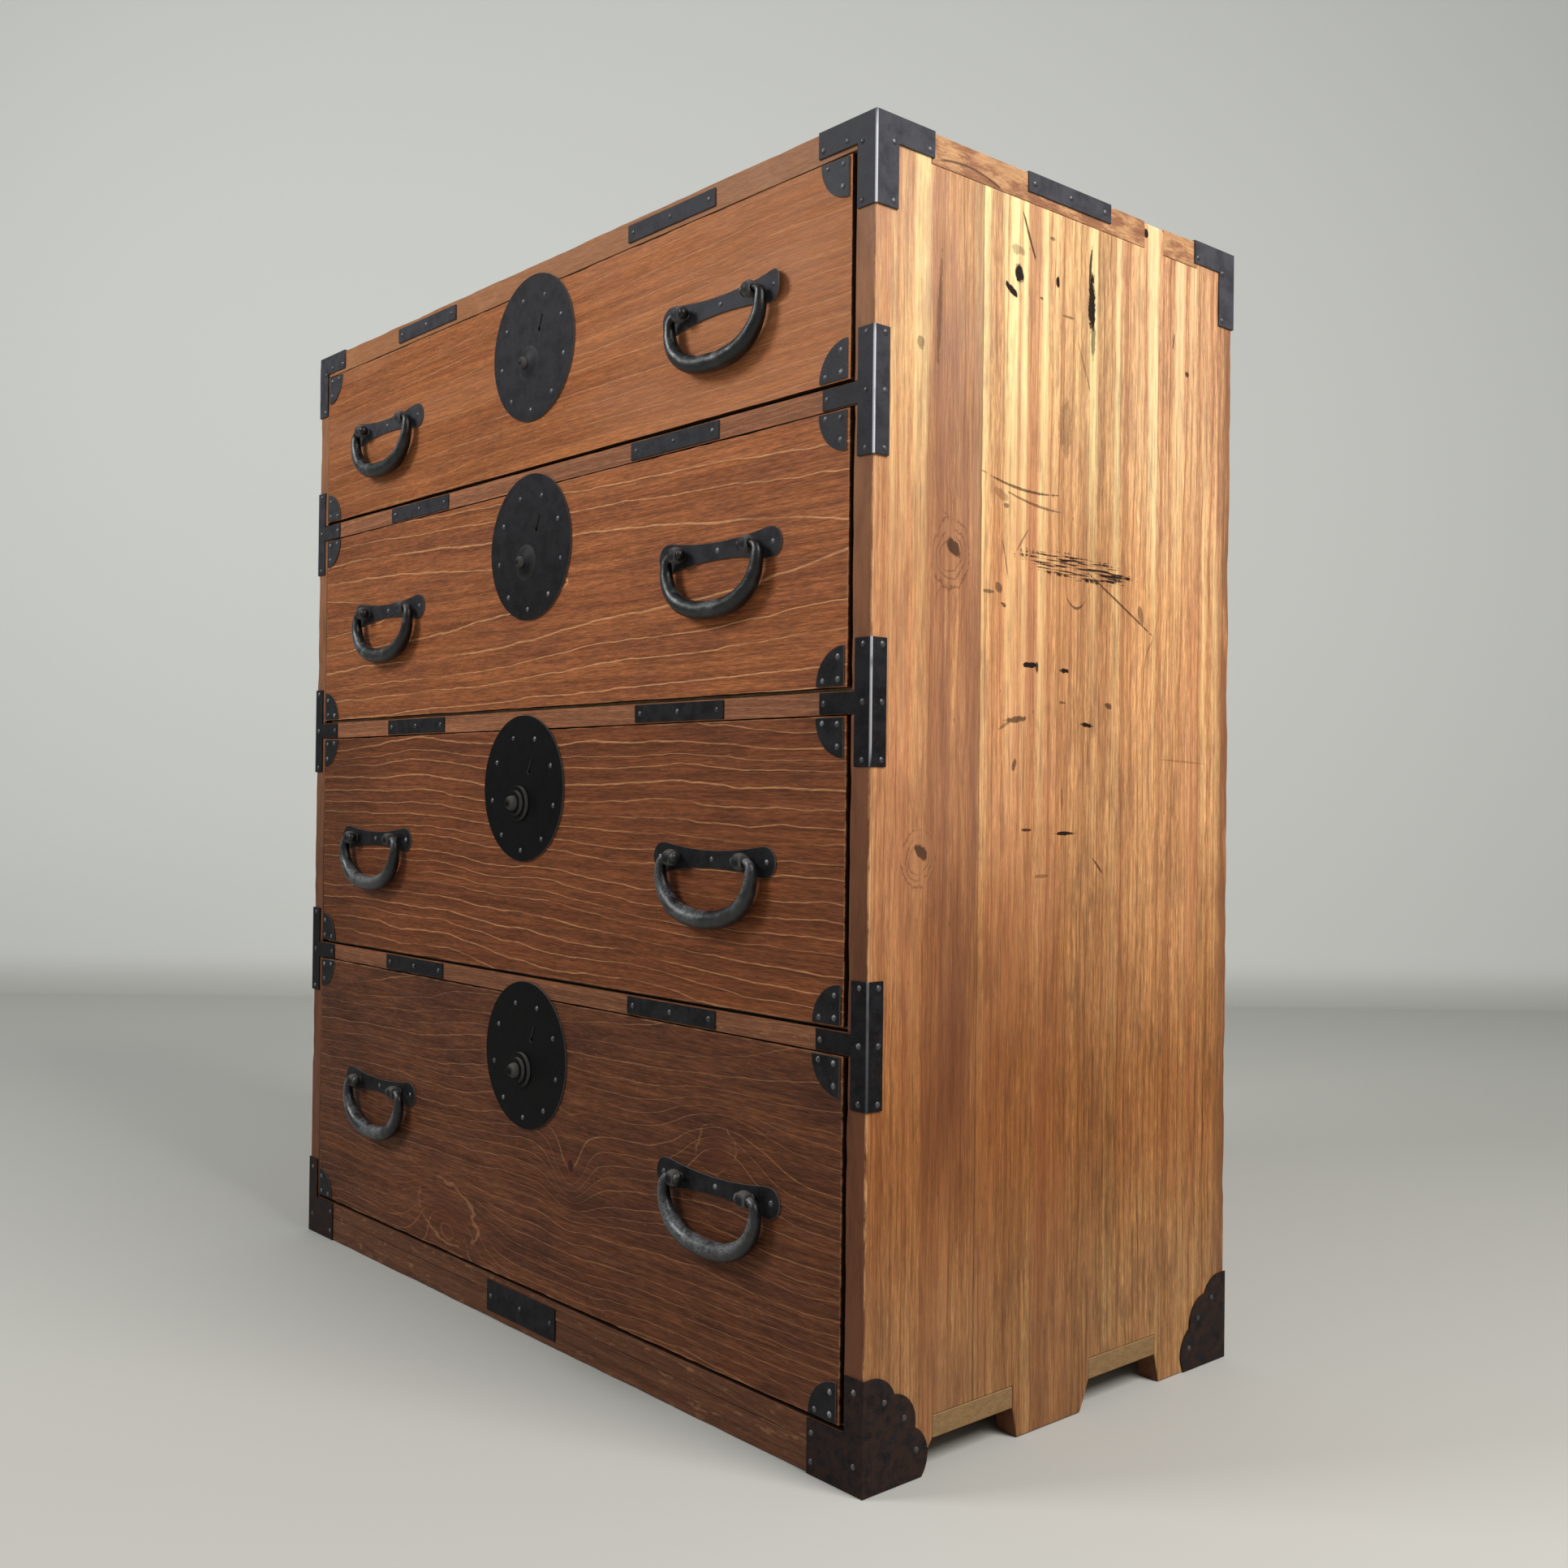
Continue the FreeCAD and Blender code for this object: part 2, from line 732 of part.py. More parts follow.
def straps():
    """Plain straps on the rails, the top, the base and the sides' top edges."""
    pieces = []
    nails = []
    front_y = ("front_iron", "front")

    def strap(name, x, z):
        middle = f"({z[0]} + {z[1]})/2"
        pieces.append(box(name, x, front_y, z))
        along = (f"{x[0]} + nail_inset*1.6", f"({x[0]} + {x[1]})/2", f"{x[1]} - nail_inset*1.6")
        spots = [(spot, "front_iron", middle) for spot in along]
        nails.extend(nails_at(name + "_nail", NAIL_FRONT, spots))

    def pair(name, left, right, z):
        strap(f"{name}_left", (f"-{left} - strap_length", f"-{left}"), z)
        strap(f"{name}_right", (right, f"{right} + strap_length"), z)

    for number in RAILS:
        middle = f"rail_mid_{number}"
        z = (f"{middle} - strap_height/2", f"{middle} + strap_height/2")
        pair(f"rail_strap_{number}", f"rail_strap_left_{number}", f"rail_strap_right_{number}", z)
    top = "case_height - top_strap_drop"
    pair("top_strap", "top_strap_left", "top_strap_right", (f"{top} - strap_height", top))
    strap(
        "base_strap",
        ("-base_strap_shift - base_strap_length/2", "-base_strap_shift + base_strap_length/2"),
        ("base_strap_rise", "base_strap_rise + base_strap_height"),
    )
    return pieces, nails


def side_strap():
    span = back_from_front("side_strap_start", "side_strap_length")
    down = box(
        "side_strap_down",
        ("case_width/2", "right_edge"),
        span,
        ("case_height - side_strap_height", "top_iron"),
    )
    over = box(
        "side_strap_over",
        ("right_edge - side_strap_top", "right_edge"),
        span,
        ("case_height", "top_iron"),
    )
    strap = fuse("side_strap", [down, over])
    middle = "side_strap_start + side_strap_length/2"
    reach = "(side_strap_length/2 - nail_inset*1.6)"
    across = (f"front + {middle} - {reach}", f"front + {middle}", f"front + {middle} + {reach}")
    low = "case_height - side_strap_height/2"
    spots = [("right_edge", spot, low) for spot in across]
    found = nails_at("side_strap_nail", NAIL_RIGHT, spots)
    between = (f"front + {middle} - {reach}/2", f"front + {middle} + {reach}/2")
    spots = [("right_edge - side_strap_top/2", spot, "top_iron") for spot in between]
    return strap, found + nails_at("side_strap_top_nail", NAIL_TOP, spots)


tees = [tee_iron(number) for number in RAILS]
tees_right = group("tees_right", tees)
node("tee_irons", group("tee_irons", tees + [mirror_x("tees_left", tees_right)]))

top_front = top_corner_iron()
base_front = base_corner_iron("base_iron_front", "base_iron_height")
base_rear = mirror_y("base_iron_rear", base_corner_iron("base_iron_tail", "rear_iron_height"))
corners_right = group(
    "corners_right", [top_front, mirror_y("top_iron_rear", top_front), base_front, base_rear]
)
node("corner_irons", group("corner_irons", [corners_right, mirror_x("corners_left", corners_right)]))

strap_pieces, strap_nails = straps()
right_strap, right_strap_nails = side_strap()
strap_pieces += [right_strap, mirror_x("side_strap_left", right_strap)]
node("strap_plates", group("strap_plates", strap_pieces))

corner_nails = group("top_corner_nails", top_corner_nails())
front_nails = base_corner_nails("base_front_nail", "base_iron_height")
tail_nails = group("tail_nails", base_corner_nails("base_tail_nail", "rear_iron_height"))
right_nails = [corner_nails, mirror_y("rear_corner_nails", corner_nails)]
right_nails += front_nails + [mirror_y("rear_base_nails", tail_nails)] + right_strap_nails
for number in RAILS:
    right_nails += tee_nails(number)
right_group = group("nails_right", right_nails)
node("case_nails", group("case_nails", [right_group, mirror_x("nails_left", right_group)] + strap_nails))


# Drawers.

def drawer_front(number):
    """The front board: rabbets for walls and bottom, the lock's mortise and its channel."""
    name = f"drawer_{number}_front"
    top = f"face_top_{number}"
    floor = f"face_floor_{number}"
    board = box(name + "_blank", ("drawer_left", "drawer_right"), ("face", "face_back"), (floor, top))
    behind = ("face_back - rabbet", "face_back + overrun")
    walls = (f"{floor} - overrun", f"wall_top_{number}")
    lock_x = f"lock_shift_{number}"
    lock_z = f"lock_z_{number}"
    half = "(lock_case_width/2 + fit_gap)"
    tall = "(lock_case_height/2 + fit_gap)"
    play = "(bolt_width/2 + bolt_play)"
    cuts = [
        box(name + "_rabbet_left", ("drawer_left - overrun", "drawer_left + wall_thick"), behind, walls),
        box(name + "_rabbet_right", ("drawer_right - wall_thick", "drawer_right + overrun"), behind, walls),
        box(
            name + "_rabbet_floor",
            ("drawer_left - overrun", "drawer_right + overrun"),
            behind,
            (f"{floor} - overrun", f"wall_floor_{number}"),
        ),
        box(
            name + "_mortise",
            (f"{lock_x} - {half}", f"{lock_x} + {half}"),
            ("face - overrun", "face + lock_case_depth + fit_gap"),
            (f"{lock_z} - {tall}", f"{lock_z} + {tall}"),
        ),
        box(
            name + "_channel",
            (f"button_x_{number} - {play}", f"button_x_{number} + {play}"),
            ("bolt_front - bolt_play", "bolt_back + bolt_play"),
            (lock_z, f"{top} + overrun"),
        ),
    ]
    for side in (LEFT, RIGHT):
        for index, post_x in enumerate(post_places(number, side)):
            through = ("face - overrun", "face_back + overrun")
            hole = disc_y(
                f"{name}_{side}_hole_{index}",
                "shank_radius + shank_gap",
                post_x,
                through,
                f"handle_z_{side}_{number}",
            )
            cuts.append(hole)
    return cut(name, board, cuts)


def drawer_walls(number):
    name = f"drawer_{number}_walls"
    heights = (f"wall_floor_{number}", f"wall_top_{number}")
    along = ("face_back - rabbet", "drawer_back")
    pieces = [
        box(name + "_left", ("drawer_left", "drawer_left + wall_thick"), along, heights),
        box(name + "_right", ("drawer_right - wall_thick", "drawer_right"), along, heights),
        box(
            name + "_back",
            ("drawer_left + wall_thick", "drawer_right - wall_thick"),
            ("drawer_back - back_wall_thick", "drawer_back"),
            heights,
        ),
    ]
    return group(name, pieces)


def drawer_bottom(number):
    return box(
        f"drawer_{number}_bottom",
        ("drawer_left", "drawer_right"),
        ("face_back - rabbet", "drawer_back"),
        (f"run_{number}", f"wall_floor_{number}"),
    )


def corner_plates(number):
    """Four quarter-round plates on the corners of a drawer front, and their nails."""
    name = f"drawer_{number}_corner_plates"
    pieces = []
    nails = []
    plate_y = ("face - iron_thick", "face")
    sides = (
        ("drawer_left + corner_plate_side_inset", "+"),
        ("drawer_right - corner_plate_side_inset", "-"),
    )
    edges = (
        (f"face_floor_{number} + corner_plate_edge_inset", "+"),
        (f"face_top_{number} - corner_plate_edge_inset", "-"),
    )
    for x, right in sides:
        for z, up in edges:
            label = f"{name}_{len(pieces)}"
            plate = disc_y(label + "_disc", "corner_plate_radius", x, plate_y, z)
            x_span = (x, f"{x} + 2*corner_plate_radius")
            if right == "-":
                x_span = (f"{x} - 2*corner_plate_radius", x)
            z_span = (z, f"{z} + 2*corner_plate_radius")
            if up == "-":
                z_span = (f"{z} - 2*corner_plate_radius", z)
            keep = box(label + "_keep", x_span, ("face - overrun", "face + overrun"), z_span)
            quarter = doc.addObject("Part::Common", label)
            quarter.Base = plate
            quarter.Tool = keep
            pieces.append(quarter)
            spots = []
            for along_share, up_share in CORNER_NAIL_SHARES:
                nail_x = f"{x} {right} {along_share}*corner_plate_radius"
                nail_z = f"{z} {up} {up_share}*corner_plate_radius"
                spots.append((nail_x, "face - iron_thick", nail_z))
            nails.extend(nails_at(label + "_nail", NAIL_FRONT, spots))
    return group(name, pieces), nails


def lock_style(number):
    """The upper two locks have a domed boss, the lower two a stepped one."""
    return "dome" if number in (1, 2) else "ring"


def lock_plate(number):
    """The round plate with its boss, the button's bore and the slanted keyhole."""
    name = f"drawer_{number}_lock_plate"
    lock_x = f"lock_shift_{number}"
    lock_z = f"lock_z_{number}"
    boss_x = f"button_x_{number}"
    boss_z = f"button_z_{number}"
    style = lock_style(number)
    pieces = [disc_y(name + "_disc", "lock_plate_radius", lock_x, ("lock_face", "face"), lock_z)]
    if style == "dome":
        pieces.append(cap_y(name + "_dome", "dome_radius", "dome_rise", boss_x, "lock_face", boss_z))
    else:
        lower = ("lock_face - ring_rise", "lock_face")
        upper = ("lock_face - upper_ring_rise", "lock_face")
        pieces.append(disc_y(name + "_ring", "ring_radius", boss_x, lower, boss_z))
        pieces.append(disc_y(name + "_upper_ring", "upper_ring_radius", boss_x, upper, boss_z))
    whole = fuse(name + "_whole", pieces)
    through = ("lock_face - 4*overrun", "face + overrun")
    dot_x = f"{lock_x} + keyhole_right"
    dot_z = f"{lock_z} + keyhole_rise"
    slit = box(
        name + "_slit",
        ("-keyhole_width/2", "keyhole_width/2"),
        ("lock_face - overrun", "face + overrun"),
        ("0", "keyhole_length"),
    )
    slit_turned = group(name + "_slit_turned", [slit])
    place(slit_turned, dot_x, "0", dot_z, (0, 1, 0), KEYHOLE_LEAN)
    cuts = [
        disc_y(name + "_bore", f"button_radius_{style} + fit_gap", boss_x, through, boss_z),
        disc_y(name + "_dot", "keyhole_dot_radius", dot_x, through, dot_z),
        slit_turned,
    ]
    spots = []
    for index in range(LOCK_NAIL_COUNT):
        angle = math.radians(LOCK_NAIL_PHASE + index * 4 * QUARTER_TURN / LOCK_NAIL_COUNT)
        nail_x = f"{lock_x} + {math.cos(angle):.5f}*lock_nail_ring"
        nail_z = f"{lock_z} - lock_nail_drop + {math.sin(angle):.5f}*lock_nail_ring"
        spots.append((nail_x, "lock_face", nail_z))
    return cut(name, whole, cuts), nails_at(name + "_nail", NAIL_FRONT, spots)


def lock_case(number):
    """A shallow iron tray in the front board, with a slot on top for the bolt."""
    name = f"drawer_{number}_lock_case"
    lock_x = f"lock_shift_{number}"
    lock_z = f"lock_z_{number}"
    wide = "lock_case_width/2"
    tall = "lock_case_height/2"
    outer = box(
        name + "_outer",
        (f"{lock_x} - {wide}", f"{lock_x} + {wide}"),
        ("face", "face + lock_case_depth"),
        (f"{lock_z} - {tall}", f"{lock_z} + {tall}"),
    )
    inside = box(
        name + "_inside",
        (f"{lock_x} - {wide} + lock_wall", f"{lock_x} + {wide} - lock_wall"),
        ("face - overrun", "face + lock_case_depth - lock_wall"),
        (f"{lock_z} - {tall} + lock_wall", f"{lock_z} + {tall} - lock_wall"),
    )
    slot = box(
        name + "_slot",
        (
            f"button_x_{number} - bolt_width/2 - fit_gap",
            f"button_x_{number} + bolt_width/2 + fit_gap",
        ),
        ("bolt_front - fit_gap", "bolt_back + fit_gap"),
        (lock_z, f"{lock_z} + {tall} + overrun"),
    )
    return cut(name, outer, [inside, slot])


def lock_button(number):
    """The push button: a rounded knob in the boss and a stem with a sloped tip."""
    name = f"drawer_{number}_lock_button"
    style = lock_style(number)
    radius = f"button_radius_{style}"
    reach = f"button_reach_{style}"
    x = f"button_x_{number}"
    z = f"button_z_{number}"
    knob = disc_y(name + "_knob", radius, x, (f"face - {reach} + {radius}", "face - button_step"), z)
    tip = doc.addObject("Part::Sphere", name + "_tip")
    bind(tip, Radius=radius)
    place(tip, x, f"face - {reach} + {radius}", z)
    stem = disc_y(name + "_stem", "stem_radius", x, ("face - button_step", "stem_end"), z)
    whole = fuse(name + "_whole", [knob, tip, stem])
    end = "stem_end + overrun"
    start = "stem_end - 2*stem_radius - overrun"
    slant = slope(
        name + "_slant",
        (f"{x} - 2*stem_radius", f"{x} + 2*stem_radius"),
        (start, end),
        (end, end),
        (f"{z} - stem_radius - overrun", f"{z} + stem_radius + overrun"),
    )
    guard = box(
        name + "_guard",
        (f"{x} - 3*stem_radius", f"{x} + 3*stem_radius"),
        ("face - button_step", f"{end} + overrun"),
        (f"{z} - 3*stem_radius", f"{z} + 3*stem_radius"),
    )
    tool = doc.addObject("Part::Common", name + "_tip_cut")
    tool.Base = slant
    tool.Tool = guard
    return cut(name, whole, [tool])


def lock_bolt(number):
    """The flat bolt: its sloped foot rides on the stem and lifts it as the button goes in."""
    name = f"drawer_{number}_lock_bolt"
    x = f"button_x_{number}"
    span = (f"{x} - bolt_width/2", f"{x} + bolt_width/2")
    level = f"button_z_{number} - stem_radius + stem_end + sqrt(2)*fit_gap"
    heel = f"({level} - bolt_back)"
    knee = f"({level} - bolt_front)"
    bar = box(name + "_bar", span, ("bolt_front", "bolt_back"), (knee, f"face_top_{number} - run_gap"))
    foot = slope(
        name + "_foot", span, ("bolt_front", "bolt_back"), ("bolt_back", "bolt_back"), (heel, knee)
    )
    return fuse(name, [bar, foot])


# The drop handles. One plate, one post and one bail are drawn and then copied.

def handle_places(number, side):
    """The middle of one handle along the front."""
    if side == LEFT:
        return f"-inner + handle_left_{number}"
    return f"inner - handle_right_{number}"


def post_places(number, side):
    middle = handle_places(number, side)
    return (f"{middle} - post_reach", f"{middle} + post_reach")


def handle_plate():
    """A long plate with round ends and a narrow waist, holed for its two posts."""
    ends = "(handle_plate_length/2 - handle_plate_end_radius)"
    plate_y = ("-handle_plate_thick", "0")
    pieces = [
        box(
            "plate_body",
            (f"-{ends}", ends),
            plate_y,
            ("-handle_plate_end_radius", "handle_plate_end_radius"),
        ),
        disc_y("plate_left_end", "handle_plate_end_radius", f"-{ends}", plate_y, "0"),
        disc_y("plate_right_end", "handle_plate_end_radius", ends, plate_y, "0"),
    ]
    whole = fuse("plate_whole", pieces)
    sag = "(handle_plate_end_radius - handle_plate_waist/2)"
    run = f"({ends} - nail_inset)"
    bow = f"(({run}^2 + {sag}^2)/(2*{sag}))"
    deep = ("-handle_plate_thick - overrun", "overrun")
    above = disc_y("plate_waist_above", bow, "0", deep, f"handle_plate_waist/2 + {bow}")
    below = disc_y("plate_waist_below", bow, "0", deep, f"-handle_plate_waist/2 - {bow}")
    hole_radius = "shank_radius + shank_gap"
    left = disc_y("plate_hole_left", hole_radius, "-post_reach", deep, "0")
    right = disc_y("plate_hole_right", hole_radius, "post_reach", deep, "0")
    return cut("handle_plate", whole, [above, below, left, right])


def handle_post():
    """An eye on a round shank that goes through the front and is clinched inside."""
    half = "post_width/2"
    eye = disc_x("post_eye", "eye_radius", (f"-{half}", half), "-pivot_out", "0")
    inside = "front_thick + clinch_thick"
    shank = disc_y("post_shank", "shank_radius", "0", ("-pivot_out", inside), "0")
    clinch = disc_y("post_clinch", "clinch_radius", "0", ("front_thick", inside), "0")
    whole = fuse("post_whole", [eye, shank, clinch])
    bore = disc_x(
        "post_bore",
        "pin_radius + pin_gap",
        ("-post_width/2 - overrun", "post_width/2 + overrun"),
        "-pivot_out",
        "0",
    )
    return cut("handle_post", whole, [bore])


def bail_path():
    """Stations down one half of the bail: place, turn from the start, and share of the way."""
    half = value("bail_half_width")
    drop = value("bail_drop")
    bend = value("bail_bend")
    corner = value("bail_corner_share") * (drop - bend)
    pin_x = value("post_reach - post_width/2 - rivet_gap")
    shoulder = half - bend
    stations = [(pin_x, 0.0, 0.0), (shoulder, 0.0, 0.0)]
    for index in range(1, BEND_STEPS + 1):
        turn = math.radians(QUARTER_TURN * index / BEND_STEPS)
        stations.append((shoulder + bend * math.sin(turn), bend * (math.cos(turn) - 1), turn))
    for index in range(0, CORNER_STEPS + 1):
        turn = math.radians(QUARTER_TURN * index / CORNER_STEPS)
        x = half - corner + corner * math.cos(turn)
        z = -drop + corner - corner * math.sin(turn)
        stations.append((x, z, math.radians(QUARTER_TURN) + turn))
    stations.append((0.0, -drop, math.radians(2 * QUARTER_TURN)))
    return stations


def bail_shape():
    """The bail: a bar bent into a loop, thick below and thin at its two riveted pins."""
    pin = value("pin_radius")
    shoulder = value("bail_shoulder_radius")
    thick = value("bail_radius")
    right = bail_path()
    bend_end = 1 + BEND_STEPS
    sections = []
    for index, (x, z, turn) in enumerate(right):
        if index <= bend_end:
            radius = pin + (shoulder - pin) * max(0, index - 1) / BEND_STEPS
        else:
            share = (index - bend_end) / (len(right) - 1 - bend_end)
            radius = shoulder + (thick - shoulder) * math.sin(share * math.pi / 2)
        sections.append((x, z, turn, radius))
    mirrored = [(-x, z, 2 * math.pi - turn, radius) for x, z, turn, radius in sections]
    ring = []
    for x, z, turn, radius in sections + mirrored[-2::-1]:
        circle = Part.Wire([Part.makeCircle(radius)])
        heading = QUARTER_TURN + math.degrees(turn)
        spin = FreeCAD.Rotation(FreeCAD.Vector(0, 1, 0), heading)
        circle.Placement = FreeCAD.Placement(FreeCAD.Vector(x, 0, z), spin)
        ring.append(circle)
    bar = Part.makeLoft(ring, True, True)
    pin_x = value("post_reach - post_width/2 - rivet_gap")
    length = value("rivet_length")
    heads = []
    for start in (-pin_x, pin_x - length):
        head = Part.makeCylinder(
            value("rivet_radius"), length, FreeCAD.Vector(start, 0, 0), FreeCAD.Vector(1, 0, 0)
        )
        heads.append(head)
    return bar.fuse(heads)


PLATE = handle_plate()
POST = handle_post()
BAIL = doc.addObject("Part::Feature", "bail_pattern")
BAIL.Shape = bail_shape()


def handle(number, side):
    """One handle's plate and posts, its nails, and its bail."""
    x = handle_places(number, side)
    z = f"handle_z_{side}_{number}"
    name = f"handle_{number}_{side}"
    mounts = [copy_at(name + "_plate", PLATE, x, "face", z)]
    for index, post_x in enumerate(post_places(number, side)):
        mounts.append(copy_at(f"{name}_post_{index}", POST, post_x, "face", z))
    nail_y = "face - handle_plate_thick"
    spots = [(f"{x} + {reach}", nail_y, z) for reach in ("-handle_nail_reach", "0", "handle_nail_reach")]
    nails = nails_at(name + "_nail", NAIL_FRONT, spots)
    bail = copy_at(f"drawer_{number}_bail_{side}", BAIL, x, "pivot_y", z)
    return mounts, nails, bail


for number in DRAWERS:
    stem = f"drawer_{number}"
    node(stem + "_front", drawer_front(number))
    node(stem + "_walls", drawer_walls(number))
    node(stem + "_bottom", drawer_bottom(number))
    plates, nails = corner_plates(number)
    node(stem + "_corner_plates", plates)
    plate, plate_nails = lock_plate(number)
    node(stem + "_lock_plate", plate)
    node(stem + "_lock_case", lock_case(number))
    node(stem + "_lock_button", lock_button(number))
    node(stem + "_lock_bolt", lock_bolt(number))
    nails += plate_nails
    mounts = []
    for side in (LEFT, RIGHT):
        pieces, handle_nails, bail = handle(number, side)
        mounts += pieces
        nails += handle_nails
        node(f"{stem}_bail_{side}", bail)
    node(stem + "_handle_mounts", group(stem + "_handle_mounts", mounts))
    node(stem + "_nails", group(stem + "_nails", nails))


doc.recompute()

for item in doc.Objects:
    if "Invalid" in item.State or "Error" in item.State:
        raise RuntimeError(f"{item.Name} failed: {item.State}")

os.makedirs(OUT, exist_ok=True)
for name, item in NODES.items():
    shape = item.Shape
    if shape.isNull() or not shape.isValid():
        raise RuntimeError(f"{name} has no valid shape")
for name, item in NODES.items():
    item.Shape.exportStep(os.path.join(OUT, name + ".step"))
    print(f"{name}: {len(item.Shape.Solids)} solids, {item.Shape.Volume:.0f} mm3")
print(f"{len(NODES)} nodes")
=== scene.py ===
import json
import math
import typing

import bmesh
import bpy
from mathutils import Matrix, Vector, noise


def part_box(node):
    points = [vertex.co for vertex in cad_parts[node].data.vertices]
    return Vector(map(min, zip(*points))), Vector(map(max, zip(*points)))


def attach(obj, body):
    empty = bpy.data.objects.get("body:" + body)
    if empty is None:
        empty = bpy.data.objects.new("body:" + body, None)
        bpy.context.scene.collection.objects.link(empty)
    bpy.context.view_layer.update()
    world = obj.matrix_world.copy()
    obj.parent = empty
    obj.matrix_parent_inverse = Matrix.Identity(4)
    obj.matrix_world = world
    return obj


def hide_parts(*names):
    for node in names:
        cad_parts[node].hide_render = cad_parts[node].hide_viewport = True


# An old clothing chest with four drawers: stained softwood boards, hammered iron locks,
# drop handles, and nailed iron corners. Lengths are metres, and MM turns millimetres into them.

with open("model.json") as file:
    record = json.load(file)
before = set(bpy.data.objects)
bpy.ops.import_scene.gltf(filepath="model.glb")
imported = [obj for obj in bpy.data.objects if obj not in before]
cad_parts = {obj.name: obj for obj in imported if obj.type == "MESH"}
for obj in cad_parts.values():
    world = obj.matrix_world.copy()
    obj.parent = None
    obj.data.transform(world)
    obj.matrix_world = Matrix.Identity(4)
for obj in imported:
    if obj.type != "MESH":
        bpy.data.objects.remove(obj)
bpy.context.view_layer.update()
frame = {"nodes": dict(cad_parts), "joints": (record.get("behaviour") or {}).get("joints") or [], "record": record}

MM = 0.001
DRAWERS = (1, 2, 3, 4)
BACK_BOARDS = 4
WELD = 0.005 * MM
FLAT = math.radians(1)
SHARP = math.radians(32)
CREASE = math.radians(50)

# Where the case's front lies, in millimetres. Depths are counted back from it.
CASE_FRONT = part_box("side_panel_right")[0].y / MM

BODY_OF = {
    node: body
    for body, nodes in frame["record"]["behaviour"]["bodies"].items()
    for node in nodes
}


# Materials: a number that varies over a surface, and the node tree that holds it.

class Number:
    """A number that varies over a surface. Sums and products of it grow the node tree."""

    def __init__(self, tree, socket):
        self.tree = tree
        self.socket = socket

    def op(self, kind, *others):
        return calculate(self.tree, kind, self, *others)

    def __add__(self, other):
        return self.op("ADD", other)

    def __sub__(self, other):
        return self.op("SUBTRACT", other)

    def __rsub__(self, other):
        return calculate(self.tree, "SUBTRACT", other, self)

    def __mul__(self, other):
        return self.op("MULTIPLY", other)

    def __truediv__(self, other):
        return self.op("DIVIDE", other)

    def __abs__(self):
        return self.op("ABSOLUTE")

    __radd__ = __add__
    __rmul__ = __mul__

    def ramp(self, low, high, first=0.0, last=1.0):
        """A smooth change from first to last while this number goes from low to high."""
        item = self.tree.nodes.new("ShaderNodeMapRange")
        item.interpolation_type = "SMOOTHSTEP"
        self.tree.links.new(self.socket, item.inputs["Value"])
        for name, amount in (("From Min", low), ("From Max", high), ("To Min", first), ("To Max", last)):
            item.inputs[name].default_value = amount
        return Number(self.tree, item.outputs["Result"])


def feed(tree, socket, value):
    """Give a socket a number or colour that varies over the surface, or one that doesn't."""
    if isinstance(value, Number):
        value = value.socket
    if isinstance(value, bpy.types.NodeSocket):
        tree.links.new(value, socket)
    else:
        socket.default_value = value


def calculate(tree, kind, *values):
    item = tree.nodes.new("ShaderNodeMath")
    item.operation = kind
    for socket, value in zip(item.inputs, values):
        feed(tree, socket, value)
    return Number(tree, item.outputs["Value"])


def paint(red, green, blue):
    """A colour given as it looks on a screen, 0 to 255, as the linear colour that shaders take."""

    def linear(level):
        share = level / 255
        return share / 12.92 if share <= 0.04045 else ((share + 0.055) / 1.055) ** 2.4

    return (linear(red), linear(green), linear(blue), 1.0)


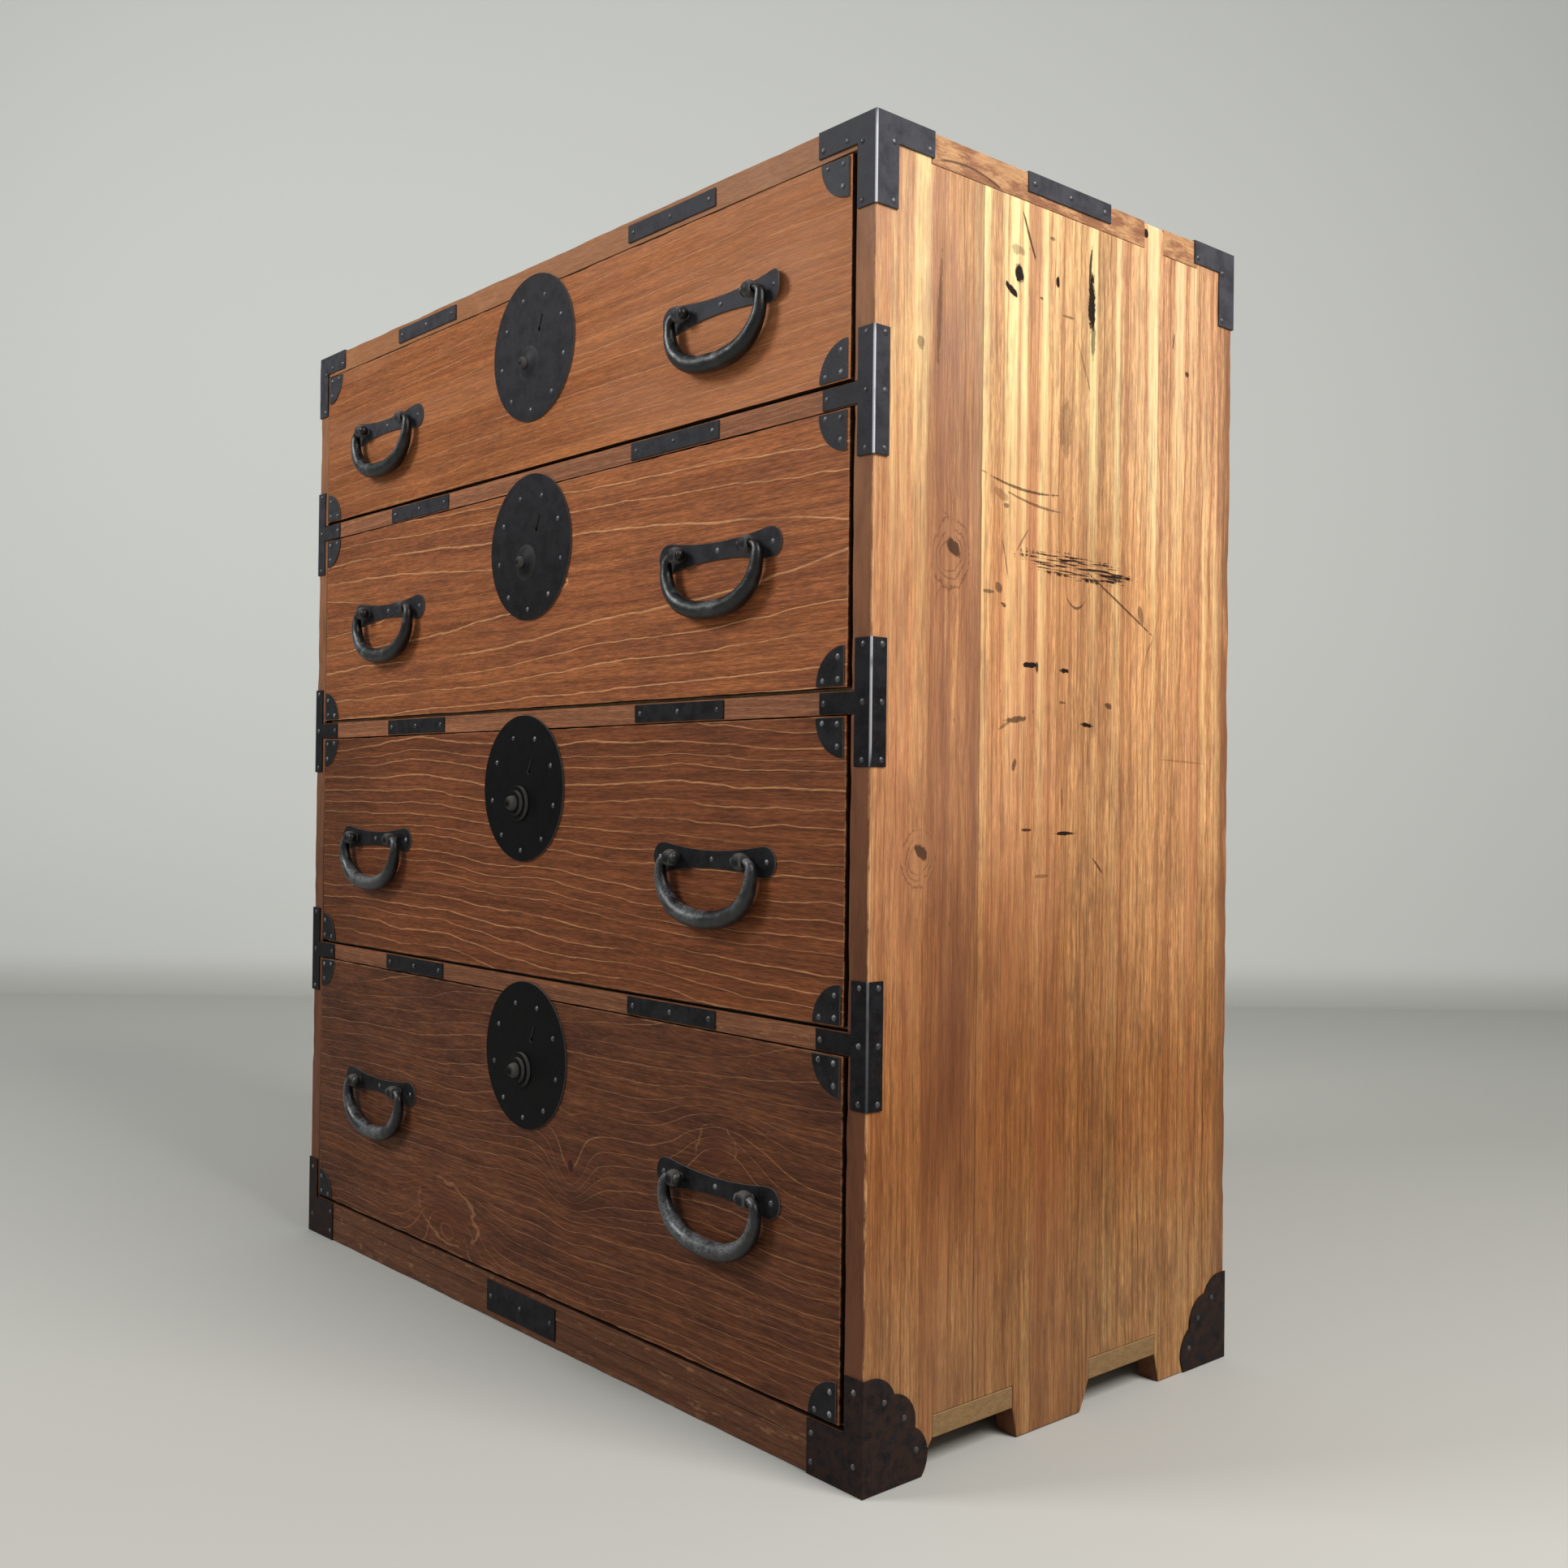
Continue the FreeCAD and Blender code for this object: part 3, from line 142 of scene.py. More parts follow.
class Surface:
    """One material, with the colour that is laid on it step by step.

    Its places x, y and z are millimetres in the chest's own frame.
    """

    def __init__(self, name, along="x", across="z", deep="y"):
        self.material = bpy.data.materials.new(name)
        self.material.use_nodes = True
        self.tree = self.material.node_tree
        self.shader = self.tree.nodes["Principled BSDF"]
        where = self.tree.nodes.new("ShaderNodeTexCoord")
        scaled = self.tree.nodes.new("ShaderNodeVectorMath")
        scaled.operation = "SCALE"
        scaled.inputs["Scale"].default_value = 1 / MM
        self.tree.links.new(where.outputs["Object"], scaled.inputs[0])
        self.place = self.split(scaled.outputs["Vector"])
        self.facing = self.split(where.outputs["Normal"])
        self.along = self.place[along]
        self.across = self.place[across]
        self.deep = self.place[deep]
        self.end_grain = abs(self.facing[along]).ramp(0.6, 0.9)
        self.board = self.join(self.along, self.across, self.deep)
        self.colour = None

    def split(self, socket):
        item = self.tree.nodes.new("ShaderNodeSeparateXYZ")
        self.tree.links.new(socket, item.inputs[0])
        return {letter: Number(self.tree, item.outputs[letter.upper()]) for letter in "xyz"}

    def join(self, *numbers):
        item = self.tree.nodes.new("ShaderNodeCombineXYZ")
        for number, socket in zip(numbers, item.inputs):
            feed(self.tree, socket, number)
        return item.outputs[0]

    def cells(self, sizes, seed, vector=None):
        """The board's own place in cells of these sizes, moved aside by the seed."""
        item = self.tree.nodes.new("ShaderNodeVectorMath")
        item.operation = "MULTIPLY_ADD"
        self.tree.links.new(vector or self.board, item.inputs[0])
        item.inputs[1].default_value = [1 / size for size in sizes]
        item.inputs[2].default_value = (seed * 3.7, seed * 5.3, seed * 1.9)
        return item.outputs["Vector"]

    def cloud(self, sizes, seed, detail=2.0, rough=0.5, vector=None):
        """Soft noise from 0 to 1 whose patches have these sizes along the board's directions."""
        item = self.tree.nodes.new("ShaderNodeTexNoise")
        item.inputs["Scale"].default_value = 1.0
        item.inputs["Detail"].default_value = detail
        item.inputs["Roughness"].default_value = rough
        self.tree.links.new(self.cells(sizes, seed, vector), item.inputs["Vector"])
        return Number(self.tree, item.outputs["Fac"])

    def specks(self, sizes, seed):
        """The distance to the nearest of many scattered points."""
        item = self.tree.nodes.new("ShaderNodeTexVoronoi")
        item.inputs["Scale"].default_value = 1.0
        self.tree.links.new(self.cells(sizes, seed), item.inputs["Vector"])
        return Number(self.tree, item.outputs["Distance"])

    def oval(self, along, across, half_length, half_width, turn, bend=0.0):
        """How far out a point lies in an oval, squared: 1 on its rim. turn tilts it in degrees."""
        c = math.cos(math.radians(turn))
        s = math.sin(math.radians(turn))
        b = self.across - across
        a = self.along - along
        if bend:
            a = a - b * b * bend
        first = a * (c / half_length) + b * (s / half_length)
        second = b * (c / half_width) - a * (s / half_width)
        return first * first + second * second

    def blot(self, along, across, half_length, half_width, torn, turn=0.0, bend=0.0):
        """1 in an oval patch, 0 outside it. torn frays its rim, and bend curves it."""
        far = self.oval(along, across, half_length, half_width, turn, bend) + torn
        return far.ramp(1.2, 0.6)

    def loop(self, along, across, half_length, half_width, turn, torn):
        """A growth ring that closes on itself: 1 on its line, 0 inside and outside it."""
        far = self.oval(along, across, half_length, half_width, turn) + torn
        return far.ramp(1.12, 1.04) * far.ramp(0.88, 0.98)

    def chance(self, number):
        """A random share from 0 to 1 for each whole number."""
        item = self.tree.nodes.new("ShaderNodeTexWhiteNoise")
        item.noise_dimensions = "1D"
        self.tree.links.new(number.op("FLOOR").socket, item.inputs["W"])
        return Number(self.tree, item.outputs["Value"])

    def shaded(self, colour, number):
        """The colour made darker or lighter by the number, where 1 leaves it alone."""
        return self.blend(1.0, colour, number, "MULTIPLY")

    def blend(self, share, first, second, kind="MIX"):
        """A colour that goes from the first to the second as the share goes from 0 to 1."""
        item = self.tree.nodes.new("ShaderNodeMix")
        item.data_type = "RGBA"
        item.blend_type = kind
        sockets = {socket.identifier: socket for socket in item.inputs}
        for name, value in (("Factor_Float", share), ("A_Color", first), ("B_Color", second)):
            feed(self.tree, sockets[name], value)
        return next(socket for socket in item.outputs if socket.identifier == "Result_Color")

    def lay(self, share, colour, kind="MIX"):
        """Lay a colour, or three levels from 0 to 255, over the surface's own."""
        if isinstance(colour, tuple):
            colour = paint(*colour)
        self.colour = self.blend(share, self.colour, colour, kind)

    def shade(self, number):
        """Darken or lighten the surface's own colour."""
        self.colour = self.shaded(self.colour, number)

    def finish(self, rough, specular, height=None, height_mm=0.25):
        """Connect the colour, the roughness and, as a bump in millimetres, the height."""
        inputs = self.shader.inputs
        feed(self.tree, inputs["Base Color"], self.colour)
        feed(self.tree, inputs["Roughness"], rough)
        inputs["Specular IOR Level"].default_value = specular
        if height is not None:
            bump = self.tree.nodes.new("ShaderNodeBump")
            bump.inputs["Distance"].default_value = height_mm * MM
            feed(self.tree, bump.inputs["Height"], height)
            feed(self.tree, inputs["Normal"], bump.outputs["Normal"])
        return self.material


class Rings(typing.NamedTuple):
    """How a board was sawn from its log: where the pith lies, and how the rings run across it."""

    pith: float
    depth: float
    slope: float
    spacing: float
    wave: float = 26.0
    ripple: float = 4.0
    figures: tuple = ()


class Grain(typing.NamedTuple):
    """The colours of a board, and how strongly its lines, rings, fibres and patches show."""

    early: tuple
    shade: tuple
    late: tuple
    stain: tuple
    line: float
    line_width: float = 1.0
    tone: float = 0.2
    fibre: float = 0.4
    patch: float = 0.4
    fleck: float = 0.3


def ring_lines(surface, rings, seed):
    """The growth rings at each point: their count from the pith, and how many cross a millimetre."""
    wave = (surface.cloud((300, 110, 120), seed, 1.0) - 0.5) * rings.wave
    ripple = (surface.cloud((46, 26, 60), seed + 1, 2.0) - 0.5) * rings.ripple
    aside = surface.across - rings.pith + wave + ripple
    below = surface.along * rings.slope + rings.depth
    radius = (aside * aside + below * below).op("SQRT")
    steep = (abs(aside) + 5) / (radius * rings.spacing)
    for along, across, half_length, half_width, lift in rings.figures:
        a = (surface.along - along) / half_length
        b = (aside + (rings.pith - across)) / half_width
        radius = radius + (a * a + b * b).op("MULTIPLY", -1.0).op("EXPONENT") * lift
    uneven = surface.cloud((30, 1, 1), seed + 2, 1.0, vector=surface.join(radius, 0.0, 0.0)) * 1.6
    return radius / rings.spacing + uneven, steep


def wood(surface, rings, grain, seed):
    """Colour a surface with the grain of one kind of board. Returns its height for the bump."""
    count, steep = ring_lines(surface, rings, seed)
    ahead = (1 - count.op("FRACT")) / steep
    crest = ahead.ramp(grain.line_width, 0.6 * grain.line_width)
    shadow = ahead.ramp(5, 1.6)
    strength = surface.cloud((150, 24, 60), seed + 3, 2.0).ramp(0.24, 0.52)
    ring_tone = surface.chance(count)
    fibre = surface.cloud((46, 2.4, 5), seed + 4, 4.0, 0.7).ramp(0.32, 0.68)
    hair = surface.cloud((13, 1.1, 3), seed + 5, 2.0, 0.65).ramp(0.34, 0.66)
    patches = surface.cloud((120, 30, 60), seed + 6, 4.0, 0.6)
    streaks = surface.cloud((420, 8, 40), seed + 7, 3.0, 0.6)
    surface.colour = paint(*grain.early)
    surface.lay(streaks.ramp(0.32, 0.72) * 0.6, grain.shade)
    surface.lay(ring_tone * grain.tone, grain.shade)
    surface.lay(patches.ramp(0.45, 0.72) * grain.patch, grain.stain)
    surface.lay(shadow * strength * (grain.line * 0.5), grain.shade)
    surface.shade(fibre * grain.fibre + (1 - grain.fibre / 2))
    surface.shade(hair * (grain.fibre * 0.8) + (1 - grain.fibre * 0.4))
    broken = hair * 0.5 + 0.6
    surface.lay(crest * strength * broken * grain.line, grain.late)
    flecks = surface.specks((15, 1.3, 4), seed + 8).ramp(0.2, 0.04)
    where = surface.cloud((70, 18, 30), seed + 9)
    surface.lay(flecks * where.ramp(0.42, 0.62) * grain.fleck, grain.late)
    surface.lay(flecks * where.ramp(0.46, 0.3) * 0.55, grain.shade)
    surface.lay(surface.end_grain * 0.6, grain.shade)
    return fibre * 0.7 + hair * 0.4


def rubbed(surface, low, high, reach, seed):
    """1 along a board's outer edges, torn by noise, where hands and years took the finish off."""
    distances = []
    for letter, start, end in zip("xyz", low, high):
        middle = (start + end) / 2
        half = (end - start) / 2
        distances.append(half - abs(surface.place[letter] - middle))
    a, b, c = distances
    nearest = a.op("MINIMUM", b)
    second = a.op("MAXIMUM", b).op("MINIMUM", nearest.op("MAXIMUM", c))
    torn = surface.cloud((26, 7, 7), seed, 3.0, 0.65).ramp(0.35, 0.7)
    return second.ramp(reach, 0.0) * torn


def node_box(node):
    """A node's lowest and highest corner in millimetres."""
    low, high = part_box(node)
    return [value / MM for value in low], [value / MM for value in high]


# The near-black painted shade laid on the faces in the gaps around the drawers.
PAINTED_GAP_SHADE = (30, 19, 14)

# closed rings on the lowest drawer: along, height, half length, half height, turn
LOOPS = ((-140, 84, 60, 29, -8), (283, 222, 25, 19, 20))


def gap_faces(surface):
    """1 on the faces across the gaps around a drawer, where painted shade makes them near black."""
    level = abs(surface.facing["z"]).ramp(0.75, 0.95)
    upright = abs(surface.facing["x"]).ramp(0.75, 0.95)
    near = surface.place["y"].ramp(CASE_FRONT + 60, CASE_FRONT + 24)
    return (level + upright) * near * 0.88


# Each front's grain and colours. The fronts darken from the top drawer to the lowest: partly their stain, partly
# painted shade.
FRONT_LOOKS = {
    1: (
        Rings(pith=1010, depth=70, slope=0.03, spacing=12, wave=26, ripple=4),
        Grain((166, 101, 56), (122, 66, 34), (212, 158, 110), (132, 78, 52),
              line=0.36, line_width=1.1, fibre=0.46, patch=0.42, fleck=0.6),
    ),
    2: (
        Rings(pith=697, depth=54, slope=0.04, spacing=14, wave=18, ripple=6),
        Grain((156, 94, 55), (106, 55, 30), (214, 158, 108), (108, 60, 41),
              line=0.7, line_width=1.3, fibre=0.55, patch=0.5, fleck=0.45),
    ),
    3: (
        Rings(pith=190, depth=90, slope=0.06, spacing=12, wave=40, ripple=6),
        Grain((122, 69, 39), (80, 41, 22), (196, 140, 94), (90, 49, 31),
              line=0.68, line_width=1.25, fibre=0.55, patch=0.5, fleck=0.4),
    ),
    4: (
        Rings(pith=330, depth=60, slope=0.05, spacing=10, wave=44, ripple=6,
              figures=((-142, 80, 70, 34, 48), (288, 222, 62, 34, 27), (77, 162, 32, 38, -29))),
        Grain((102, 60, 37), (62, 33, 21), (178, 126, 86), (68, 38, 27),
              line=0.4, line_width=0.85, fibre=0.6, patch=0.75, fleck=0.45),
    ),
}


def front_wood(number):
    """The stained face of one drawer front."""
    rings, grain = FRONT_LOOKS[number]
    surface = Surface(f"drawer_{number}_front_wood")
    height = wood(surface, rings, grain, number * 11)
    # Painted light and shade: the upper fronts lighter toward the right, every front darker toward its left end.
    painted_shade_left = surface.along.ramp(-230, -400) * (0.34 if number == 3 else 0.14)
    painted_light_right = surface.along.ramp(-60, 160) * surface.place["z"].ramp(420, 700) * 0.18
    surface.shade(painted_light_right - painted_shade_left + 1)
    if number == 1:
        blush = surface.cloud((260, 50, 60), number + 40, 2.0).ramp(0.4, 0.7)
        blush = blush * 0.4 + surface.along.ramp(60, 400) * 0.6
        surface.lay(blush * 0.5, (190, 132, 96))
    low, high = node_box(f"drawer_{number}_front")
    # painted shade in the gaps around the drawer
    surface.lay(gap_faces(surface), PAINTED_GAP_SHADE)
    worn = rubbed(surface, low, high, 2.2, number + 50)
    surface.lay(worn * 0.55, (176, 126, 90))
    if number == 4:
        torn = (surface.cloud((6, 6, 6), 31, 3.0) - 0.5) * 2.4
        knot = surface.blot(77, 170, 7, 12, torn, 10)
        surface.lay(knot * 0.8, (92, 46, 30))
        core = surface.blot(78, 169, 4, 6, torn, 20)
        surface.lay(core * 0.8, (38, 20, 14))
        slow = (surface.cloud((40, 22, 40), 32, 2.0, 0.5) - 0.5) * 1.7
        faded = surface.cloud((30, 20, 20), 33, 3.0, 0.6).ramp(0.36, 0.58)
        for along, across, half_length, half_width, turn in LOOPS:
            heart = surface.blot(along, across, half_length * 0.75, half_width * 0.75, slow, turn)
            surface.lay(heart * 0.45, (84, 44, 30))
            line = surface.loop(along, across, half_length, half_width, turn, slow) * faded
            surface.lay(line * 0.34, grain.late)
    inside = surface.facing["y"].ramp(0.5, 0.8)
    bare = surface.shaded(paint(178, 142, 104), height * 0.5 + 0.72)
    surface.lay(inside * 0.92, bare)
    rough = surface.cloud((60, 12, 20), number + 60).ramp(0.3, 0.7, 0.44, 0.6)
    return surface.finish(rough, 0.09, height)


def rail_wood(name, lift, seed):
    """The stained rails between the drawers, and the base. lift makes one kind lighter."""
    surface = Surface(name)
    grain = Grain((150, 96, 64), (108, 64, 42), (196, 146, 106), (118, 74, 54), line=0.3, tone=0.4)
    height = wood(surface, Rings(pith=-60, depth=120, slope=0.02, spacing=7), grain, seed)
    # painted shade: the rails darker toward the floor
    lower = surface.place["z"].ramp(760, 20)
    surface.shade(lift - lower * 0.6)
    scuffs = surface.cloud((22, 6, 12), seed + 12, 4.0, 0.7).ramp(0.56, 0.72)
    surface.lay(scuffs * 0.35, (176, 126, 88))
    behind = surface.place["y"].ramp(CASE_FRONT + 40, CASE_FRONT + 60)
    surface.lay(behind * 0.7, (168, 134, 98))
    # painted shade in the gaps around the drawers
    surface.lay(gap_faces(surface), PAINTED_GAP_SHADE)
    return surface, height


def dusty_rail(name, lift, seed):
    surface, height = rail_wood(name, lift, seed)
    return surface.finish(0.54, 0.12, height)


def floor_wood():
    """The bottom board. It is stained at the front, and bare where its tenons come through the sides."""
    surface, height = rail_wood("bottom_board_wood", 1.0, 85)
    bare = abs(surface.facing["x"]).ramp(0.5, 0.8)
    rubbed_end = surface.cloud((8, 5, 9), 76, 3.0, 0.6).ramp(0.3, 0.7)
    surface.lay(bare * 0.9, (112, 88, 56))
    surface.lay(bare * rubbed_end * 0.5, (142, 112, 76))
    return surface.finish(0.6, 0.12, height)


# old holes, scratches and scars on the right side:
# height, depth behind the front, half height, half width, strength, then any tilt and bend
MARKS = (
    (917, 159, 8, 5, 1.0),
    (903, 150, 3, 9, 0.8, 30),
    (936, 157, 4, 9, 0.35),
    (950, 171, 20, 1.3, 0.7, -24),
    (921, 207, 5, 2.4, 0.85),
    (955, 200, 1.5, 3, 0.5),
    (904, 186, 1.2, 2.5, 0.6),
    (896, 220, 1.2, 8, 0.45),
    (912, 251, 26, 5, 1.0),
    (884, 253, 16, 3, 0.55),
    (944, 249, 18, 1.6, 0.75, 6),
    (858, 242, 22, 1.2, 0.35, -24),
    (806, 218, 24, 8, 0.3),
    (841, 48, 5, 4, 0.4),
    (880, 386, 3, 3, 0.7),
    (905, 366, 8, 1.3, 0.5, 12),
    (990, 324, 4, 3.4, 0.85),
    (748, 166, 1.2, 44, 0.6, 4, 0.0022),
    (738, 178, 1.2, 34, 0.5, 8, 0.0022),
    (741, 140, 4, 9, 0.3, 20),
    (733, 146, 2, 3.5, 0.5),
    (668, 294, 1.1, 54, 0.6, 27),
    (660, 234, 1.2, 14, 0.55, 0, 0.05),
    (708, 166, 13, 1.1, 0.4, 38),
    (690, 146, 16, 1.0, 0.45, -14),
    (668, 138, 4, 5, 0.5, 30),
    (655, 144, 1.6, 3.5, 0.6, 20),
    (664, 126, 1.6, 7, 0.5),
    (661, 322, 9, 3.5, 0.45, -18),
    (610, 177, 2.4, 9, 0.85, -3),
    (609, 185, 5, 2, 0.7),
    (608, 219, 2, 6, 0.9),
    (582, 218, 1.2, 4, 0.5),
    (582, 278, 2.5, 5, 0.6, 10),
    (566, 160, 2.6, 15, 0.6, -6),
    (561, 146, 1.4, 9, 0.4, -28),
    (565, 249, 2, 9, 0.8, 5),
    (530, 158, 5, 2.6, 0.55, 20),
    (479, 173, 1.3, 6, 0.7),
    (476, 222, 1.5, 13, 0.85),
    (505, 218, 9, 1.2, 0.4),
    (448, 266, 10, 1.2, 0.6, -46),
    (442, 192, 1.6, 9, 0.35),
    (538, 384, 1.0, 34, 0.25, 2),
    (985, 102, 1.2, 34, 0.55, -4, -0.006),
    (868, 68, 44, 2.2, 0.35, 2),
)

SIDE_SEAM = 117
SIDE_KNOTS = ((688, 83, 26), (458, 51, 22))


def side_streaks(surface, lift, wide, grime):
    """Bands, streaks and grime along the side's grain: golden high up, browner low down."""
    bands = surface.cloud((1100, 15, 40), 139, 2.0, 0.55)
    streaky = surface.cloud((150, 2.6, 8), 137, 4.0, 0.7)
    high_up = lift.ramp(420, 860)
    low_down = lift.ramp(760, 260)
    smoke = surface.cloud((130, 36, 60), 156, 4.0, 0.6).ramp(0.46, 0.66) * surface.across.ramp(300, 60)
    surface.lay(wide.ramp(0.48, 0.68) * 0.5, (186, 122, 84))
    surface.lay(bands.ramp(0.52, 0.7) * 0.5, (150, 96, 60))
    surface.lay(bands.ramp(0.5, 0.32) * (high_up * 0.6 + 0.12), (236, 200, 136))
    surface.lay(streaky.ramp(0.54, 0.68) * (low_down * 0.2 + 0.42), (104, 64, 40))
    surface.lay(streaky.ramp(0.42, 0.3) * (high_up * 0.25 + 0.2), (236, 194, 126))
    surface.lay(grime.ramp(0.5, 0.66) * (low_down * 0.16 + 0.3), (118, 80, 58))
    surface.lay(smoke * 0.3, (112, 82, 64))


def side_planks(surface, wide):
    """The two planks that a side is glued from, the front one with a dark band along the seam."""
    strip = surface.across.ramp(SIDE_SEAM + 0.8, SIDE_SEAM - 0.8)
    dark_band = surface.across.ramp(44, 74) * strip * surface.along.ramp(100, 300)
    dark_band = dark_band * surface.along.ramp(960, 820, 0.45, 1.0)
    dark_band = dark_band * surface.cloud((260, 11, 40), 136, 3.0).ramp(0.2, 0.6)
    behind = surface.across.ramp(112, 122) * surface.across.ramp(300, 180)
    behind = behind * surface.along.ramp(520, 400) * wide.ramp(0.3, 0.6)
    blush = surface.cloud((90, 24, 30), 134, 4.0, 0.65).ramp(0.46, 0.6)
    blush = blush * surface.along.ramp(700, 860) * surface.across.ramp(190, 60)
    glue = abs(surface.across - SIDE_SEAM).ramp(1.0, 0.2)
    surface.lay(strip * 0.3, (160, 102, 68))
    surface.lay(dark_band * 0.72, (122, 78, 58))
    surface.lay(behind * 0.3, (140, 88, 54))
    surface.lay(blush * 0.36, (150, 102, 80))
    surface.lay(glue * 0.6, (80, 50, 34))


def side_light(surface, lift):
    """Paler and bluer high up, darker low down and near the floor: partly a worn finish, partly painted light from
    above. Darker along the back edge too.
    """
    high_up = lift.ramp(640, 880)
    # Painted light: a colour multiplier that is paler and bluer high up and darker low down, partly standing for a
    # worn finish.
    light = surface.blend(lift.ramp(240, 560), (0.52, 0.42, 0.31, 1), (0.98, 1.0, 1.06, 1))
    light = surface.blend(high_up, light, (1.1, 1.3, 1.5, 1))
    light = surface.blend(surface.across.ramp(230, 360) * high_up, light, (0.96, 1.04, 1.3, 1))
    light = surface.blend(surface.along.ramp(240, 70), light, (0.57, 0.58, 0.56, 1))
    surface.lay(1.0, light, "MULTIPLY")
    column = surface.across.ramp(224, 244) * surface.across.ramp(306, 286)
    pores = surface.cloud((42, 0.8, 4), 154, 4.0, 0.75).ramp(0.36, 0.62) * 0.34 + 0.82
    surface.shade(pores - column * 0.16)
    back_edge = surface.across.ramp(430, 450) * surface.cloud((90, 10, 30), 142, 3.0).ramp(0.2, 0.5)
    surface.lay(back_edge * 0.75, (104, 66, 42))


def side_marks(surface):
    """The knots, scratches and old holes of the right side."""
    on_right = surface.deep.ramp(-1, 1)
    torn = (surface.cloud((9, 5, 9), 145, 3.0, 0.65) - 0.5) * 2.6
    slow = (surface.cloud((16, 9, 20), 147, 3.0, 0.6) - 0.5) * 1.3
    faded = surface.cloud((16, 10, 20), 143, 2.0).ramp(0.34, 0.56) * on_right
    for along, across, reach in SIDE_KNOTS:
        halo = surface.blot(along, across, reach, reach * 0.8, slow) * on_right
        surface.lay(halo * 0.3, (150, 104, 74))
        for size, tilt in ((1.0, 10), (0.74, 18), (0.54, 30)):
            line = surface.loop(along, across, reach * size, reach * size * 0.8, tilt, slow) * faded
            surface.lay(line * 0.55, (88, 56, 40))
        heart = surface.blot(along + 5, across + 3, reach * 0.36, reach * 0.2, torn, -50) * on_right
        surface.lay(heart * 0.85, (54, 34, 26))
    scar = surface.blot(693, 236, 10, 72, torn, 2)
    scar = scar * surface.cloud((1.6, 30, 5), 146, 2.0).ramp(0.47, 0.58)
    for along, across, half_length, half_width, strength, *tilt in MARKS:
        mark = surface.blot(along, across, half_length, half_width, torn, *tilt)
        scar = scar.op("MAXIMUM", mark * min(1.0, strength * 1.25))
    surface.lay(scar * on_right, (30, 18, 14))
    nicks = surface.specks((34, 12, 9), 151).ramp(0.07, 0.02)
    nicks = nicks * surface.cloud((80, 60, 40), 152).ramp(0.46, 0.6)
    surface.lay(nicks * 0.7, (70, 42, 28))


def side_edges(surface, grime):
    """The side's stained front edge, darker low down with painted shade, with its rubbed corner; and its face
    inside the chest, with painted shade in the gap near the front.
    """
    low, high = node_box("side_panel_right")
    stained = surface.facing["y"].ramp(-0.5, -0.85)
    # painted shade: the front edge darker toward the floor
    tint = surface.blend(surface.place["z"].ramp(950, 350), paint(138, 90, 60), paint(88, 52, 36))
    tint = surface.shaded(tint, grime.ramp(0.35, 0.65) * 0.4 + 0.8)
    surface.lay(stained * 0.9, tint)
    corner = bend_distance(surface, high[0], low[1]).ramp(2.2, 1.0)
    frayed = surface.cloud((24, 5, 5), 153, 3.0, 0.65).ramp(0.4, 0.62)
    surface.lay(corner * frayed * 0.7, (206, 152, 108))
    inner = abs(surface.place["x"]).ramp(436, 434.8) * (1 - stained)
    surface.lay(inner * 0.8, (168, 132, 94))
    # painted shade in the gap beside the drawers, near the front
    surface.lay(inner * surface.across.ramp(60, 24) * 0.88, PAINTED_GAP_SHADE)


def bend_distance(surface, side, front):
    """How far a point is from the upright edge where the side meets the front."""
    to_side = abs(surface.place["x"]) - side
    to_front = surface.place["y"] - front
    return (to_side * to_side + to_front * to_front).op("SQRT")


def side_wood():
    """The oiled side boards: upright golden grain with brown lines, marks and old holes."""
    surface = Surface("side_wood", along="z", across="y", deep="x")
    surface.across = surface.across - CASE_FRONT
    grain = Grain((206, 152, 100), (158, 106, 66), (104, 62, 36), (170, 114, 78),
                  line=0.6, line_width=1.1, fibre=0.5, patch=0.45, fleck=0.5)
    rings = Rings(pith=558, depth=64, slope=0.012, spacing=10, wave=20, ripple=2.4,
                  figures=((690, 83, 40, 18, 27), (458, 51, 36, 14, 20), (700, 348, 90, 16, 24)))
    height = wood(surface, rings, grain, 131)
    wide = surface.cloud((800, 42, 60), 138, 2.0)
    grime = surface.cloud((70, 15, 20), 149, 5.0, 0.7)
    lift = surface.along + (surface.cloud((160, 50, 60), 141) - 0.5) * 220
    side_streaks(surface, lift, wide, grime)
    side_planks(surface, wide)
    side_light(surface, lift)
    side_marks(surface)
    side_edges(surface, grime)
    rough = surface.cloud((120, 16, 20), 155).ramp(0.3, 0.7, 0.4, 0.56)
    return surface.finish(rough, 0.1, height)


def top_wood():
    """The top board, with darker end grain where its tongues come through the sides."""
    surface = Surface("top_wood", along="x", across="y", deep="z")
    grain = Grain((164, 116, 74), (122, 80, 48), (194, 150, 106), (136, 92, 60), line=0.35, tone=0.3)
    height = wood(surface, Rings(pith=-30, depth=30, slope=0.03, spacing=9), grain, 171)
    front = surface.facing["y"].ramp(-0.5, -0.8)
    surface.lay(front * 0.6, (156, 98, 60))
    blotches = surface.cloud((30, 34, 9), 173, 5.0, 0.65)
    ends = surface.blend(blotches.ramp(0.42, 0.6), paint(178, 134, 94), paint(132, 88, 62))
    ends = surface.shaded(ends, surface.cloud((6, 14, 1.2), 174, 2.0).ramp(0.35, 0.65) * 0.3 + 0.85)
    surface.lay(surface.end_grain * 0.9, ends)
    bow = (surface.across - (CASE_FRONT + 102)) / 34
    crack = abs(surface.deep - 985 + bow * bow * 5 + bow * 2).ramp(1.3, 0.5)
    crack = crack * abs(bow).ramp(1.1, 0.9) * surface.end_grain
    surface.lay(crack * 0.8, (60, 38, 26))
    below = surface.facing["z"].ramp(-0.5, -0.8)
    surface.lay(below * 0.7, (168, 132, 96))
    return surface.finish(0.5, 0.16, height)


